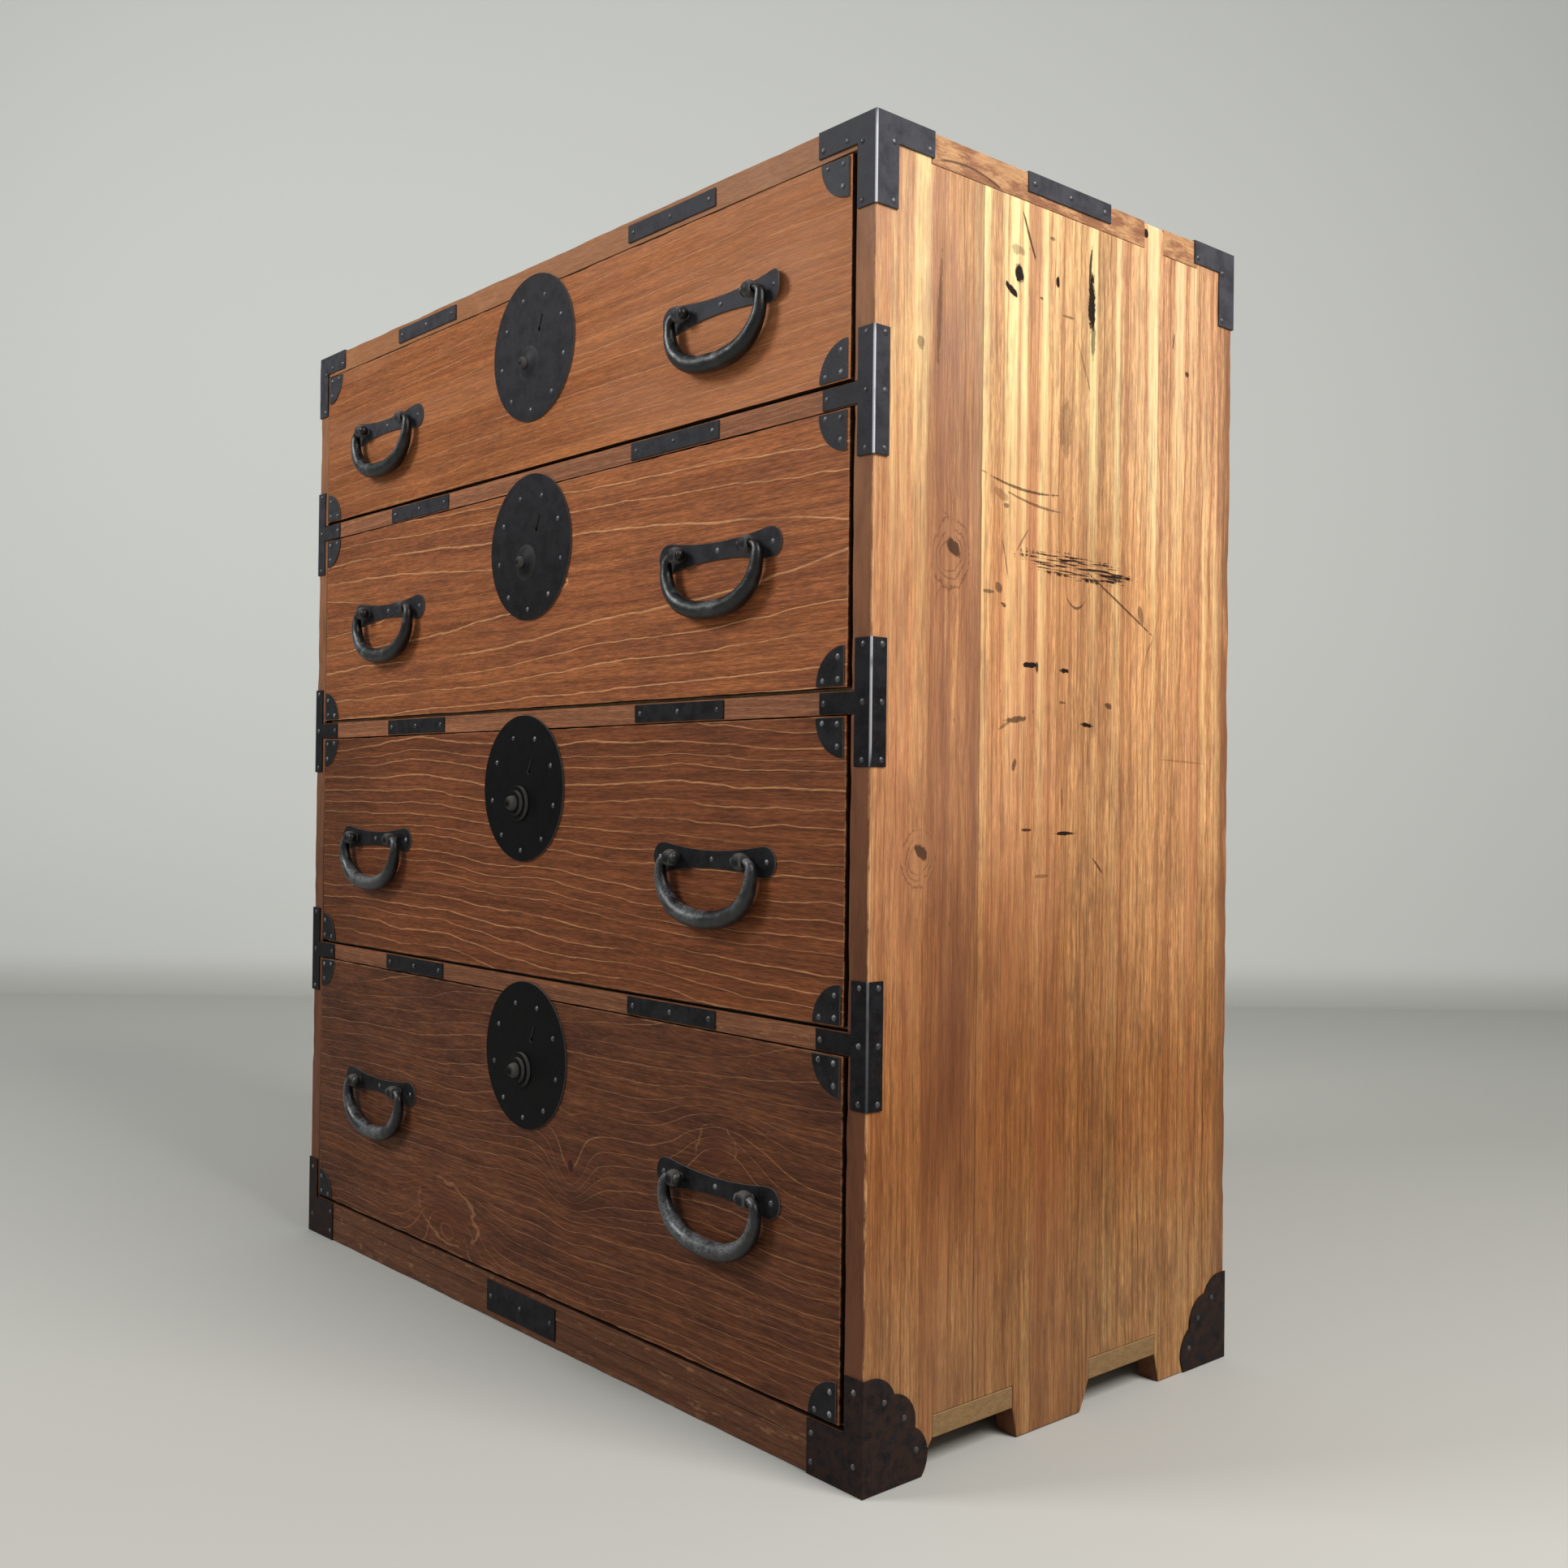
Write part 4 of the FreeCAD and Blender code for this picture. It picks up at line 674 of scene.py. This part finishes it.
def inner_wood(name, along, across, deep, seed, dirt=0.45):
    """Bare pale boards inside the chest and behind it, dusty and never finished."""
    surface = Surface(name, along, across, deep)
    grain = Grain((190, 154, 114), (156, 120, 86), (134, 98, 68), (164, 128, 94), line=0.35, tone=0.3)
    height = wood(surface, Rings(pith=seed * 7.0, depth=60, slope=0.04, spacing=12), grain, seed)
    grime = surface.cloud((140, 120, 120), seed + 9, 4.0, 0.6).ramp(0.45, 0.75)
    surface.lay(grime * dirt, (112, 84, 60))
    return surface, height


def dusty(surface, height):
    return surface.finish(0.68, 0.15, height)


def back_wood():
    """The back boards, each one from its own plank, dark with dust along its edges."""
    surface, height = inner_wood("back_wood", "x", "z", "y", 91, dirt=0.5)
    low, high = node_box("back_boards")
    share = (surface.across - low[2]) * (BACK_BOARDS / (high[2] - low[2]))
    part = share.op("FRACT")
    seam = part.ramp(0.012, 0.0) + part.ramp(0.988, 1.0)
    surface.shade(surface.chance(share) * 0.3 + 0.8 - seam * 0.35)
    return dusty(surface, height)


def times(levels, factor):
    """The same tone darker or lighter."""
    return tuple(level * factor for level in levels)


def iron(name, tone, rust, rim=0.0, specular=0.08, glare=(76, 76, 82), corner=False):
    """Black iron: mottled, browner where rusty, with a painted glare higher up and, where asked, painted
    highlights on the bevelled rims. A corner rusts low down and shines on its bend: polished there, with a painted
    highlight.
    """
    surface = Surface(name)
    mottle = surface.cloud((16, 16, 16), 201, 3.0, 0.6)
    fine = surface.cloud((2.4, 2.4, 2.4), 202, 2.0, 0.6)
    surface.colour = paint(*times(tone, 0.82))
    surface.lay(mottle.ramp(0.34, 0.66), times(tone, 1.4))
    surface.lay(fine.ramp(0.56, 0.78) * 0.5, times(tone, 2.2))
    scale = surface.cloud((9, 9, 9), 203, 4.0, 0.7)
    rusty = scale.ramp(0.42, 0.66) * rust
    if corner:
        near_floor = surface.place["z"].ramp(150, 70)
        rusty = rusty + near_floor * scale.ramp(0.3, 0.62) * 0.8
    rusty = rusty.op("MINIMUM", 1.0)
    surface.lay(rusty, (46, 33, 28))
    rough = mottle.ramp(0.3, 0.7, 0.42, 0.56) + rusty * 0.2
    # painted glare: the iron paler higher up
    upper = surface.place["z"].ramp(500, 980) * (mottle.ramp(0.3, 0.65) * 0.24 + 0.36)
    surface.lay(upper, glare)
    # painted highlights on the bevelled rims of the plates
    if rim:
        edge = abs(surface.facing["y"]).ramp(0.95, 0.6)
        surface.lay(edge * rim, (132, 128, 122))
    if corner:
        low, high = node_box("side_panel_right")
        # a thin near-white line along the upright bend: polished by wear, and a painted highlight
        bend = bend_distance(surface, high[0] + 0.6, low[1] - 0.6).ramp(1.25, 0.7)
        bend = bend * surface.place["z"].ramp(180, 820) * surface.cloud((9, 40, 9), 204).ramp(0.25, 0.45)
        surface.lay(bend * 0.85, (196, 196, 202))
        rough = rough - bend * 0.12
    return surface.finish(rough, specular, fine * 0.5 + mottle * 0.9, 0.2)


def rubbed_and_glinting_iron(name, tone, rub_and_glint_tone, share, patch):
    """Hammered black iron with bright patches: handled bare on its high spots, with painted highlights on the
    faces turned up, left and to the front. share is how much of it.
    """
    surface = Surface(name)
    mottle = surface.cloud((11, 11, 11), 211, 3.0, 0.6)
    fine = surface.cloud((1.6, 1.6, 1.6), 212, 3.0, 0.7)
    surface.colour = paint(*tone)
    surface.lay(mottle.ramp(0.35, 0.7), times(tone, 1.7))
    bright = surface.cloud((patch, patch, patch), 213, 3.0, 0.6).ramp(0.62 - share, 0.78 - share)
    # painted highlights: the bright patches are strongest on faces turned toward the light, up, left and to the
    # front
    facing_light = surface.facing["z"] * 0.6 - surface.facing["x"] * 0.3 - surface.facing["y"] * 0.2
    bright = bright * fine.ramp(0.3, 0.66) * (facing_light.ramp(-0.1, 0.6) * 0.9 + 0.1)
    surface.lay(bright * 0.8, rub_and_glint_tone)
    rough = mottle.ramp(0.3, 0.7, 0.24, 0.38) + fine * 0.08
    return surface.finish(rough, 0.42, fine * 0.6 + mottle, 0.3)


# Geometry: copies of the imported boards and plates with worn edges, and hand-built fittings.

def make_object(name, bm, material, smooth=True):
    """Turn an edited mesh into an object at the origin, smooth except across hard edges."""
    mesh = bpy.data.meshes.new(name)
    bmesh.ops.recalc_face_normals(bm, faces=bm.faces)
    bm.to_mesh(mesh)
    bm.free()
    item = bpy.data.objects.new(name, mesh)
    bpy.context.scene.collection.objects.link(item)
    mesh.materials.append(material)
    if smooth:
        mesh.shade_smooth()
        mesh.set_sharp_from_angle(angle=CREASE)
        even = item.modifiers.new("even_normals", "WEIGHTED_NORMAL")
        even.keep_sharp = True
    return item


def dress(node, ending, bm, material):
    """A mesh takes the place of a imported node, and moves with its body."""
    item = make_object(f"{node}_{ending}", bm, material)
    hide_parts(node)
    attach(item, BODY_OF[node])


def packed_mesh(node):
    """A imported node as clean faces: each solid welded by itself, with its flat triangles joined."""
    bm = bmesh.new()
    bm.from_mesh(frame["nodes"][node].data)
    bmesh.ops.remove_doubles(bm, verts=bm.verts, dist=WELD)
    touching = [edge for edge in bm.edges if len(edge.link_faces) > 2]
    bmesh.ops.split_edges(bm, edges=touching)
    for part in islands(bm):
        bmesh.ops.remove_doubles(bm, verts=part, dist=WELD)
    bmesh.ops.dissolve_limit(bm, angle_limit=FLAT, verts=bm.verts, edges=bm.edges)
    return bm


def soften(bm, width, shortest=0.0):
    """Round off the sharp edges that are at least this long."""
    sharp = [
        edge for edge in bm.edges
        if edge.is_manifold and edge.calc_face_angle() > SHARP and edge.calc_length() > shortest
    ]
    bmesh.ops.bevel(
        bm, geom=sharp, offset=width, segments=2, profile=0.5, affect="EDGES", clamp_overlap=True
    )


def extent(points):
    """The lowest and the highest corner of the box around some points."""
    columns = list(zip(*points))
    return Vector([min(column) for column in columns]), Vector([max(column) for column in columns])


def cut(bm, place, normal):
    """Add edges where a plane crosses the mesh."""
    geometry = bm.verts[:] + bm.edges[:] + bm.faces[:]
    bmesh.ops.bisect_plane(bm, geom=geometry, plane_co=place, plane_no=normal, dist=WELD)


def slice_along(bm, axis, step):
    """Cut the mesh across one axis at even steps, so that its edges can be worn."""
    places = [vertex.co[axis] for vertex in bm.verts]
    start = min(places)
    steps = int((max(places) - start) / step)
    normal = Vector([float(letter == axis) for letter in range(3)])
    for index in range(1, steps + 1):
        cut(bm, normal * (start + index * step), normal)


def wear(bm, reach, depth, seed):
    """Press the outer edges inwards here and there, as knocks and years do."""
    low, high = extent([vertex.co for vertex in bm.verts])
    shift = Vector((seed * 1.3, seed * 2.1, seed * 0.7))
    for vertex in bm.verts:
        inward = Vector()
        for axis in range(3):
            if vertex.co[axis] - low[axis] < reach:
                inward[axis] = 1
            elif high[axis] - vertex.co[axis] < reach:
                inward[axis] = -1
        if inward.length < 1.2:
            continue
        slow = noise.noise(vertex.co * 22 + shift)
        quick = noise.noise(vertex.co * 95 + shift)
        vertex.co += inward * depth * max(0.0, 0.25 + slow + 0.6 * quick)


WEAR_STEP = 12 * MM
PLATE_EDGE = 0.4 * MM


def board(node, material, width, depth=0.0, axis=0, seed=1):
    """A packed board with rounded and, where depth is given, knocked edges."""
    bm = packed_mesh(node)
    soften(bm, width, shortest=7 * MM)
    if depth:
        slice_along(bm, axis, WEAR_STEP)
        wear(bm, width * 1.6, depth, seed)
    dress(node, "worn", bm, material)


def back_boards(material):
    """The back boards, each one a board of its own with eased edges."""
    node = "back_boards"
    low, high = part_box(node)
    step = (high.z - low.z) / BACK_BOARDS
    bm = bmesh.new()
    for index in range(BACK_BOARDS):
        start = Vector((low.x, low.y, low.z + index * step))
        end = Vector((high.x, high.y, start.z + step))
        size = Matrix.Diagonal((end - start).to_4d())
        bmesh.ops.create_cube(bm, size=1.0, matrix=Matrix.Translation((start + end) / 2) @ size)
    soften(bm, 0.9 * MM)
    dress(node, "worn", bm, material)


def plates(node, material):
    """Packed iron plates with softened edges."""
    bm = packed_mesh(node)
    soften(bm, PLATE_EDGE)
    dress(node, "forged", bm, material)


def lathe(bm, profile, steps, matrix, closed=False, lumps=0.0, seed=0):
    """Turn a profile of (radius, height) points about Z, then move it by the matrix."""
    shift = Vector((seed * 7.1, seed * 3.3, seed * 1.7))
    rows = []
    for radius, height in profile:
        if radius == 0:
            rows.append([bm.verts.new(matrix @ Vector((0, 0, height)))])
            continue
        row = []
        for index in range(steps):
            turn = math.tau * index / steps
            spot = Vector((radius * math.cos(turn), radius * math.sin(turn), height))
            if lumps:
                swell = noise.noise(spot * 260 + shift)
                spot += spot.normalized() * swell * lumps
            row.append(bm.verts.new(matrix @ spot))
        rows.append(row)
    pairs = list(zip(rows, rows[1:]))
    if closed:
        pairs.append((rows[-1], rows[0]))
    for first, second in pairs:
        for index in range(steps):
            after = (index + 1) % steps
            corners = [first[index % len(first)], first[after % len(first)]]
            corners += [second[after % len(second)], second[index % len(second)]]
            bm.faces.new(list(dict.fromkeys(corners)))


def islands(bm):
    """The separate solids of a mesh, each as a list of its vertices."""
    bm.verts.ensure_lookup_table()
    bm.verts.index_update()
    seen = set()
    parts = []
    for start in bm.verts:
        if start.index in seen:
            continue
        seen.add(start.index)
        group = [start]
        for vertex in group:
            for edge in vertex.link_edges:
                other = edge.other_vert(vertex)
                if other.index not in seen:
                    seen.add(other.index)
                    group.append(other)
        parts.append(group)
    return parts


def loose_parts(node):
    """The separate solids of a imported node, each as a list of its points."""
    bm = bmesh.new()
    bm.from_mesh(frame["nodes"][node].data)
    bmesh.ops.remove_doubles(bm, verts=bm.verts, dist=WELD)
    parts = [[vertex.co.copy() for vertex in part] for part in islands(bm)]
    bm.free()
    return parts


NAIL_STEPS = 12
NAIL_DEPTH = 9 * MM
NAIL_TAPER = 7 * MM
NAIL_SHANK = 1.1 * MM
HANDLE_REACH = 80 * MM


def along_axis(axis, offset):
    """The part of an offset that lies along one axis."""
    part = Vector()
    part[axis] = offset[axis]
    return part


def nail_place(points):
    """Where a packed nail's head meets its plate, the way that it points out, and its head's size."""
    low, high = extent(points)
    size = high - low
    axis = max(range(3), key=lambda index: size[index])
    middle = (low + high) / 2
    head = size[(axis + 1) % 3] / 2
    seats = []
    for point in points:
        offset = point - middle
        if (offset - along_axis(axis, offset)).length > head * 0.9:
            seats.append(point[axis])
    seat = sum(seats) / len(seats)
    out = Vector((0, 0, 0))
    out[axis] = 1 if high[axis] - seat < seat - low[axis] else -1
    foot = middle.copy()
    foot[axis] = seat
    return foot, out, head, size[axis]


def nails(node, material, middle=None):
    """Hand-made nails: low uneven domes on round shanks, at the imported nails' places."""
    bm = bmesh.new()
    for index, points in enumerate(loose_parts(node)):
        foot, out, head, length = nail_place(points)
        if middle is not None and abs(foot.x - middle) < HANDLE_REACH:
            foot.y -= bent_out(foot, middle)
        swing = out.to_track_quat("Z", "Y").to_matrix().to_4x4()
        lean = Matrix.Rotation(0.06 * noise.noise(foot * 900), 4, "X")
        matrix = Matrix.Translation(foot) @ swing @ lean
        rise = length - NAIL_DEPTH
        radius = head * (0.88 + 0.12 * noise.noise(foot * 700))
        profile = [(0, rise), (radius * 0.45, rise * 0.86), (radius * 0.8, rise * 0.5)]
        profile += [(radius, 0.12 * rise), (radius * 0.97, -0.02 * MM)]
        profile += [(NAIL_SHANK, -0.03 * MM), (NAIL_SHANK, -NAIL_TAPER), (0, -NAIL_DEPTH)]
        lathe(bm, profile, NAIL_STEPS, matrix, lumps=0.12 * MM, seed=index)
    dress(node, "forged", bm, material)


# A bail: half its width, its drop, the bend beside each eye, and the bar's radius on the way.
BAIL_HALF = 58 * MM
BAIL_DROP = 48 * MM
BAIL_KNEE = 7.5 * MM
PIN_START = 39.9 * MM
PIN_RADIUS = 3 * MM
SHOULDER_RADIUS = 4.8 * MM
BAIL_RADIUS = 7.9 * MM
BAIL_FULLNESS = 0.86
BAIL_SIDES = 24
KNEE_STEPS = 6
BOW_STEPS = 36


def bail_line():
    """Points down one half of a bail from its pin: place and bar radius."""
    knee = BAIL_HALF - BAIL_KNEE
    line = []
    for index in range(KNEE_STEPS):
        line.append((Vector((PIN_START + (knee - PIN_START) * index / KNEE_STEPS, 0, 0)), PIN_RADIUS))
    for index in range(KNEE_STEPS):
        turn = math.pi / 2 * index / KNEE_STEPS
        spot = Vector((knee + BAIL_KNEE * math.sin(turn), 0, BAIL_KNEE * (math.cos(turn) - 1)))
        line.append((spot, PIN_RADIUS + (SHOULDER_RADIUS - PIN_RADIUS) * index / KNEE_STEPS))
    for index in range(BOW_STEPS + 1):
        turn = math.pi / 2 * index / BOW_STEPS
        across = BAIL_HALF * math.cos(turn) ** BAIL_FULLNESS
        down = BAIL_KNEE + (BAIL_DROP - BAIL_KNEE) * math.sin(turn) ** BAIL_FULLNESS
        thick = SHOULDER_RADIUS + (BAIL_RADIUS - SHOULDER_RADIUS) * math.sin(turn) ** 0.8
        line.append((Vector((across, 0, -down)), thick))
    return line


def hammered_bar(bm, line, centre, seed):
    """A round bar along a line of places, with the flats and dimples that a hammer leaves."""
    shift = Vector((seed * 0.31, seed * 0.17, seed * 0.53))
    rows = []
    for index, (spot, radius) in enumerate(line):
        before = line[max(0, index - 1)][0]
        after = line[min(len(line) - 1, index + 1)][0]
        heading = (after - before).normalized()
        side = Vector((0, 1, 0)).cross(heading)
        row = []
        for step in range(BAIL_SIDES):
            turn = math.tau * step / BAIL_SIDES
            ray = side * math.cos(turn) + Vector((0, 1, 0)) * math.sin(turn)
            rough_place = spot + ray * radius
            dent = noise.voronoi(rough_place * 115 + shift)[0][0]
            swell = noise.noise(rough_place * 60 + shift)
            reach = radius * min(1.0, 0.985 - 0.1 * max(0.0, 0.62 - dent) + 0.03 * swell)
            row.append(bm.verts.new(centre + spot + ray * reach))
        rows.append(row)
    for first, second in zip(rows, rows[1:]):
        for step in range(BAIL_SIDES):
            after = (step + 1) % BAIL_SIDES
            bm.faces.new((first[step], first[after], second[after], second[step]))
    bm.faces.new(rows[0])
    bm.faces.new(reversed(rows[-1]))


def bail(number, side, material):
    """One drop handle's bar with the two burred rivet heads that hold it in its eyes."""
    node = f"drawer_{number}_bail_{side}"
    joint = next(j for j in frame["joints"] if j["child"] == node)
    centre = Vector(joint["pos_m"])
    seed = number * 2 + (side == "right")
    half = bail_line()
    mirrored = [(Vector((-spot.x, spot.y, spot.z)), bar) for spot, bar in half]
    bm = bmesh.new()
    hammered_bar(bm, half + mirrored[-2::-1], centre, seed)
    for sign in (-1, 1):
        start = centre + Vector((sign * 40.1 * MM, 0, 0))
        inward = Matrix.Rotation(-sign * math.pi / 2, 4, "Y")
        profile = [(0, -0.2 * MM), (3.8 * MM, 0), (4.8 * MM, 0.9 * MM), (4.6 * MM, 2.4 * MM)]
        profile += [(3.2 * MM, 3.8 * MM), (0, 4.3 * MM)]
        lathe(bm, profile, 14, Matrix.Translation(start) @ inward, lumps=0.6 * MM, seed=seed + sign)
    dress(node, "forged", bm, material)


# The handle plate whose end is prised up: where that starts, its run and its reach.
BENT_PLATE = (1, "right")
BEND_START = 54 * MM
BEND_RUN = 24 * MM
BEND_REACH = 6.5 * MM
BEND_CUTS = 9
CUT_GAP = 2.6 * MM


def bent_out(point, middle):
    """How far one handle plate's end, prised off its nail, stands off the drawer."""
    past = max(0.0, point.x - middle - BEND_START)
    return BEND_REACH * (past / BEND_RUN) ** 2


def bend_middle(number):
    """The middle of the bent handle plate, if this drawer has it."""
    if number != BENT_PLATE[0]:
        return None
    low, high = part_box(f"drawer_{number}_bail_{BENT_PLATE[1]}")
    return (low.x + high.x) / 2


def eye(bm, centre, seed):
    """A forged eye around a bail's pin: a lumpy ball with creases, bored along X."""
    turn = Matrix.Rotation(math.pi / 2, 4, "Y")
    profile = [(3.4, -4.5), (5.4, -4.4), (6.6, -2.8), (6.95, 0), (6.6, 2.8), (5.4, 4.4), (3.4, 4.5)]
    profile = [(radius * MM, height * MM) for radius, height in profile]
    lathe(bm, profile, 20, Matrix.Translation(centre) @ turn, closed=True, lumps=0.45 * MM, seed=seed)


def shank(bm, centre, back):
    """The round shank from an eye through the drawer front, clinched inside."""
    turn = Matrix.Rotation(-math.pi / 2, 4, "X")
    reach = back - centre.y
    profile = [(0, 5.4 * MM), (3.5 * MM, 5.4 * MM), (3.5 * MM, reach - 1.5 * MM)]
    profile += [(6 * MM, reach - 1.5 * MM), (5.6 * MM, reach), (0, reach)]
    lathe(bm, profile, 16, Matrix.Translation(centre) @ turn)


EYE_RADIUS = 7 * MM
POST_WIDTH = 30 * MM


def handle_mounts(number, plate_material):
    """The handle plates, and the eyes on their shanks that hold the bails."""
    node = f"drawer_{number}_handle_mounts"
    bm = packed_mesh(node)
    posts = []
    for part in islands(bm):
        low, high = extent([vertex.co for vertex in part])
        if high.x - low.x < POST_WIDTH:
            posts.append((low, high))
            bmesh.ops.delete(bm, geom=part, context="VERTS")
    soften(bm, 0.45 * MM)
    middle = bend_middle(number)
    if middle is not None:
        for index in range(BEND_CUTS):
            cut(bm, Vector((middle + BEND_START + index * CUT_GAP, 0, 0)), Vector((1, 0, 0)))
        for vertex in bm.verts:
            vertex.co.y -= bent_out(vertex.co, middle)
    for index, (low, high) in enumerate(posts):
        centre = Vector(((low.x + high.x) / 2, low.y + EYE_RADIUS, (low.z + high.z) / 2))
        eye(bm, centre, number * 10 + index)
        shank(bm, centre, high.y)
    dress(node, "forged", bm, plate_material)


# The room: floor, backdrop, lights and camera.

CAMERA_PLACE = Vector((1.26602, -1.01531, 0.50293))
CAMERA_YAW = math.radians(-48.673)
CAMERA_PITCH = math.radians(0.4755)
CAMERA_ROLL = math.radians(0.65)
FOCAL_PIXELS = 1943.2
IMAGE_PIXELS = 1932
SENSOR = 36.0

AIR_COLOUR = (0.86, 0.9, 0.92, 1)
AIR_LIGHT = 0.42
# name, place, target, size in metres, power in watts, colour
LIGHTS = (
    ("window", (2.2, 0.1, 2.2), (0.3, 0, 0.6), 1.2, 88, (1.0, 0.98, 0.95)),
    ("fill", (-1.4, -2.6, 2.4), (0, 0, 0.6), 1.1, 74, (0.99, 1.0, 1.0)),
)


def camera():
    """The camera at the photograph's place, from the chest's own corners."""
    lens = bpy.data.cameras.new("camera")
    lens.sensor_fit = "HORIZONTAL"
    lens.sensor_width = SENSOR
    lens.lens = SENSOR * FOCAL_PIXELS / IMAGE_PIXELS
    item = bpy.data.objects.new("camera", lens)
    bpy.context.scene.collection.objects.link(item)
    forward = Vector((
        math.sin(CAMERA_YAW) * math.cos(CAMERA_PITCH),
        math.cos(CAMERA_YAW) * math.cos(CAMERA_PITCH),
        math.sin(CAMERA_PITCH),
    ))
    level = Vector((math.cos(CAMERA_YAW), -math.sin(CAMERA_YAW), 0))
    above = level.cross(forward)
    right = level * math.cos(CAMERA_ROLL) + above * math.sin(CAMERA_ROLL)
    up = above * math.cos(CAMERA_ROLL) - level * math.sin(CAMERA_ROLL)
    turn = Matrix((right, up, -forward)).transposed().to_4x4()
    item.matrix_world = Matrix.Translation(CAMERA_PLACE) @ turn
    bpy.context.scene.camera = item


def area_light(name, place, target, size, power, colour):
    """A square light that faces its target."""
    lamp = bpy.data.lights.new(name, "AREA")
    lamp.shape = "SQUARE"
    lamp.size = size
    lamp.energy = power
    lamp.color = colour
    item = bpy.data.objects.new(name, lamp)
    bpy.context.scene.collection.objects.link(item)
    item.location = place
    item.rotation_mode = "QUATERNION"
    item.rotation_quaternion = (Vector(target) - Vector(place)).to_track_quat("-Z", "Y")


def backdrop():
    """A pale floor that curves up into a pale wall behind the chest."""
    surface = Surface("backdrop")
    surface.colour = paint(172, 171, 166)
    surface.lay(surface.place["z"].ramp(10, 130), (206, 207, 203))
    material = surface.finish(0.7, 0.2)
    bm = bmesh.new()
    near_end, reach, radius, height, half_width, steps = -9.0, 2.35, 0.12, 4.5, 8.0, 12
    outline = [(near_end, 0.0), (reach - radius, 0.0)]
    for index in range(1, steps + 1):
        turn = math.radians(90 * index / steps)
        outline.append((reach - radius + radius * math.sin(turn), radius - radius * math.cos(turn)))
    outline.append((reach, height))
    away = Vector((math.sin(CAMERA_YAW), math.cos(CAMERA_YAW), 0))
    sideways = Vector((away.y, -away.x, 0))
    rows = []
    for distance, rise in outline:
        middle = away * distance + Vector((0, 0, rise))
        rows.append([bm.verts.new(middle + sideways * offset) for offset in (-half_width, half_width)])
    for first, second in zip(rows, rows[1:]):
        bm.faces.new((first[0], first[1], second[1], second[0]))
    item = make_object("backdrop", bm, material, smooth=False)
    item.data.shade_smooth()


def room():
    backdrop()
    world = bpy.data.worlds.new("room")
    bpy.context.scene.world = world
    world.use_nodes = True
    air = world.node_tree.nodes["Background"].inputs
    air["Color"].default_value = AIR_COLOUR
    air["Strength"].default_value = AIR_LIGHT
    for light in LIGHTS:
        area_light(*light)
    bpy.context.scene.view_settings.view_transform = "Standard"


# Put the chest together.

def build_case():
    side = side_wood()
    rail = dusty_rail("rail_wood", 1.08, 71)
    base = dusty_rail("base_wood", 1.0, 61)
    top = top_wood()
    board("side_panel_right", side, 1.4 * MM, 0.9 * MM, axis=2, seed=2)
    board("side_panel_left", side, 1.4 * MM, 0.9 * MM, axis=2, seed=3)
    board("top_board", top, 1.4 * MM, 0.6 * MM, seed=4)
    board("bottom_board", floor_wood(), 1.0 * MM)
    board("base_rail", base, 1.0 * MM, 0.5 * MM, seed=5)
    board("divider_rails", rail, 1.0 * MM, 0.4 * MM, seed=6)
    board("dust_shelves", dusty(*inner_wood("shelf_wood", "x", "y", "z", 81)), 0.6 * MM)
    back_boards(back_wood())
    corner = iron("corner_iron", (19, 19, 21), 0.2, specular=0.06, glare=(78, 78, 84), corner=True)
    plates("corner_irons", corner)
    plates("tee_irons", corner)
    plates("strap_plates", iron("strap_iron", (24, 24, 26), 0.2, specular=0.06))
    nails("case_nails", NAIL_METAL)


def build_drawer(number):
    stem = f"drawer_{number}_"
    board(stem + "front", front_wood(number), 1.3 * MM, 0.6 * MM, seed=10 + number)
    board(stem + "walls", WALL_WOOD, 0.8 * MM)
    board(stem + "bottom", BOTTOM_WOOD, 0.8 * MM)
    plates(stem + "corner_plates", PLATE_IRON)
    plates(stem + "lock_plate", LOCK_IRON)
    plates(stem + "lock_button", LOCK_IRON)
    handle_mounts(number, PLATE_IRON)
    for side in ("left", "right"):
        bail(number, side, BAIL_IRONS[1 if number < 3 else 3])
    nails(stem + "nails", LOCK_NAIL_METAL, bend_middle(number))
    for hidden in ("lock_case", "lock_bolt"):
        item = frame["nodes"][stem + hidden]
        item.data.materials.clear()
        item.data.materials.append(HIDDEN_IRON)


NAIL_METAL = rubbed_and_glinting_iron("nail_metal", (36, 36, 39), (170, 170, 174), 0.12, 5)
LOCK_NAIL_METAL = rubbed_and_glinting_iron("lock_nail_metal", (48, 48, 50), (176, 176, 180), 0.18, 5)
PLATE_IRON = iron("plate_iron", (23, 23, 25), 0.1, rim=0.35)
LOCK_IRON = iron("lock_iron", (8, 8, 9), 0.05, rim=0.35, specular=0.06, glare=(64, 62, 66))
HIDDEN_IRON = iron("hidden_iron", (44, 42, 42), 0.3)
BAIL_IRONS = {
    1: rubbed_and_glinting_iron("upper_bail_iron", (11, 11, 12), (122, 122, 124), 0.12, 26),
    3: rubbed_and_glinting_iron("lower_bail_iron", (17, 17, 18), (122, 122, 124), 0.24, 26),
}
WALL_WOOD = dusty(*inner_wood("wall_wood", "y", "z", "x", 101))
BOTTOM_WOOD = dusty(*inner_wood("bottom_wood", "x", "y", "z", 111))

build_case()
for drawer in DRAWERS:
    build_drawer(drawer)
room()
camera()
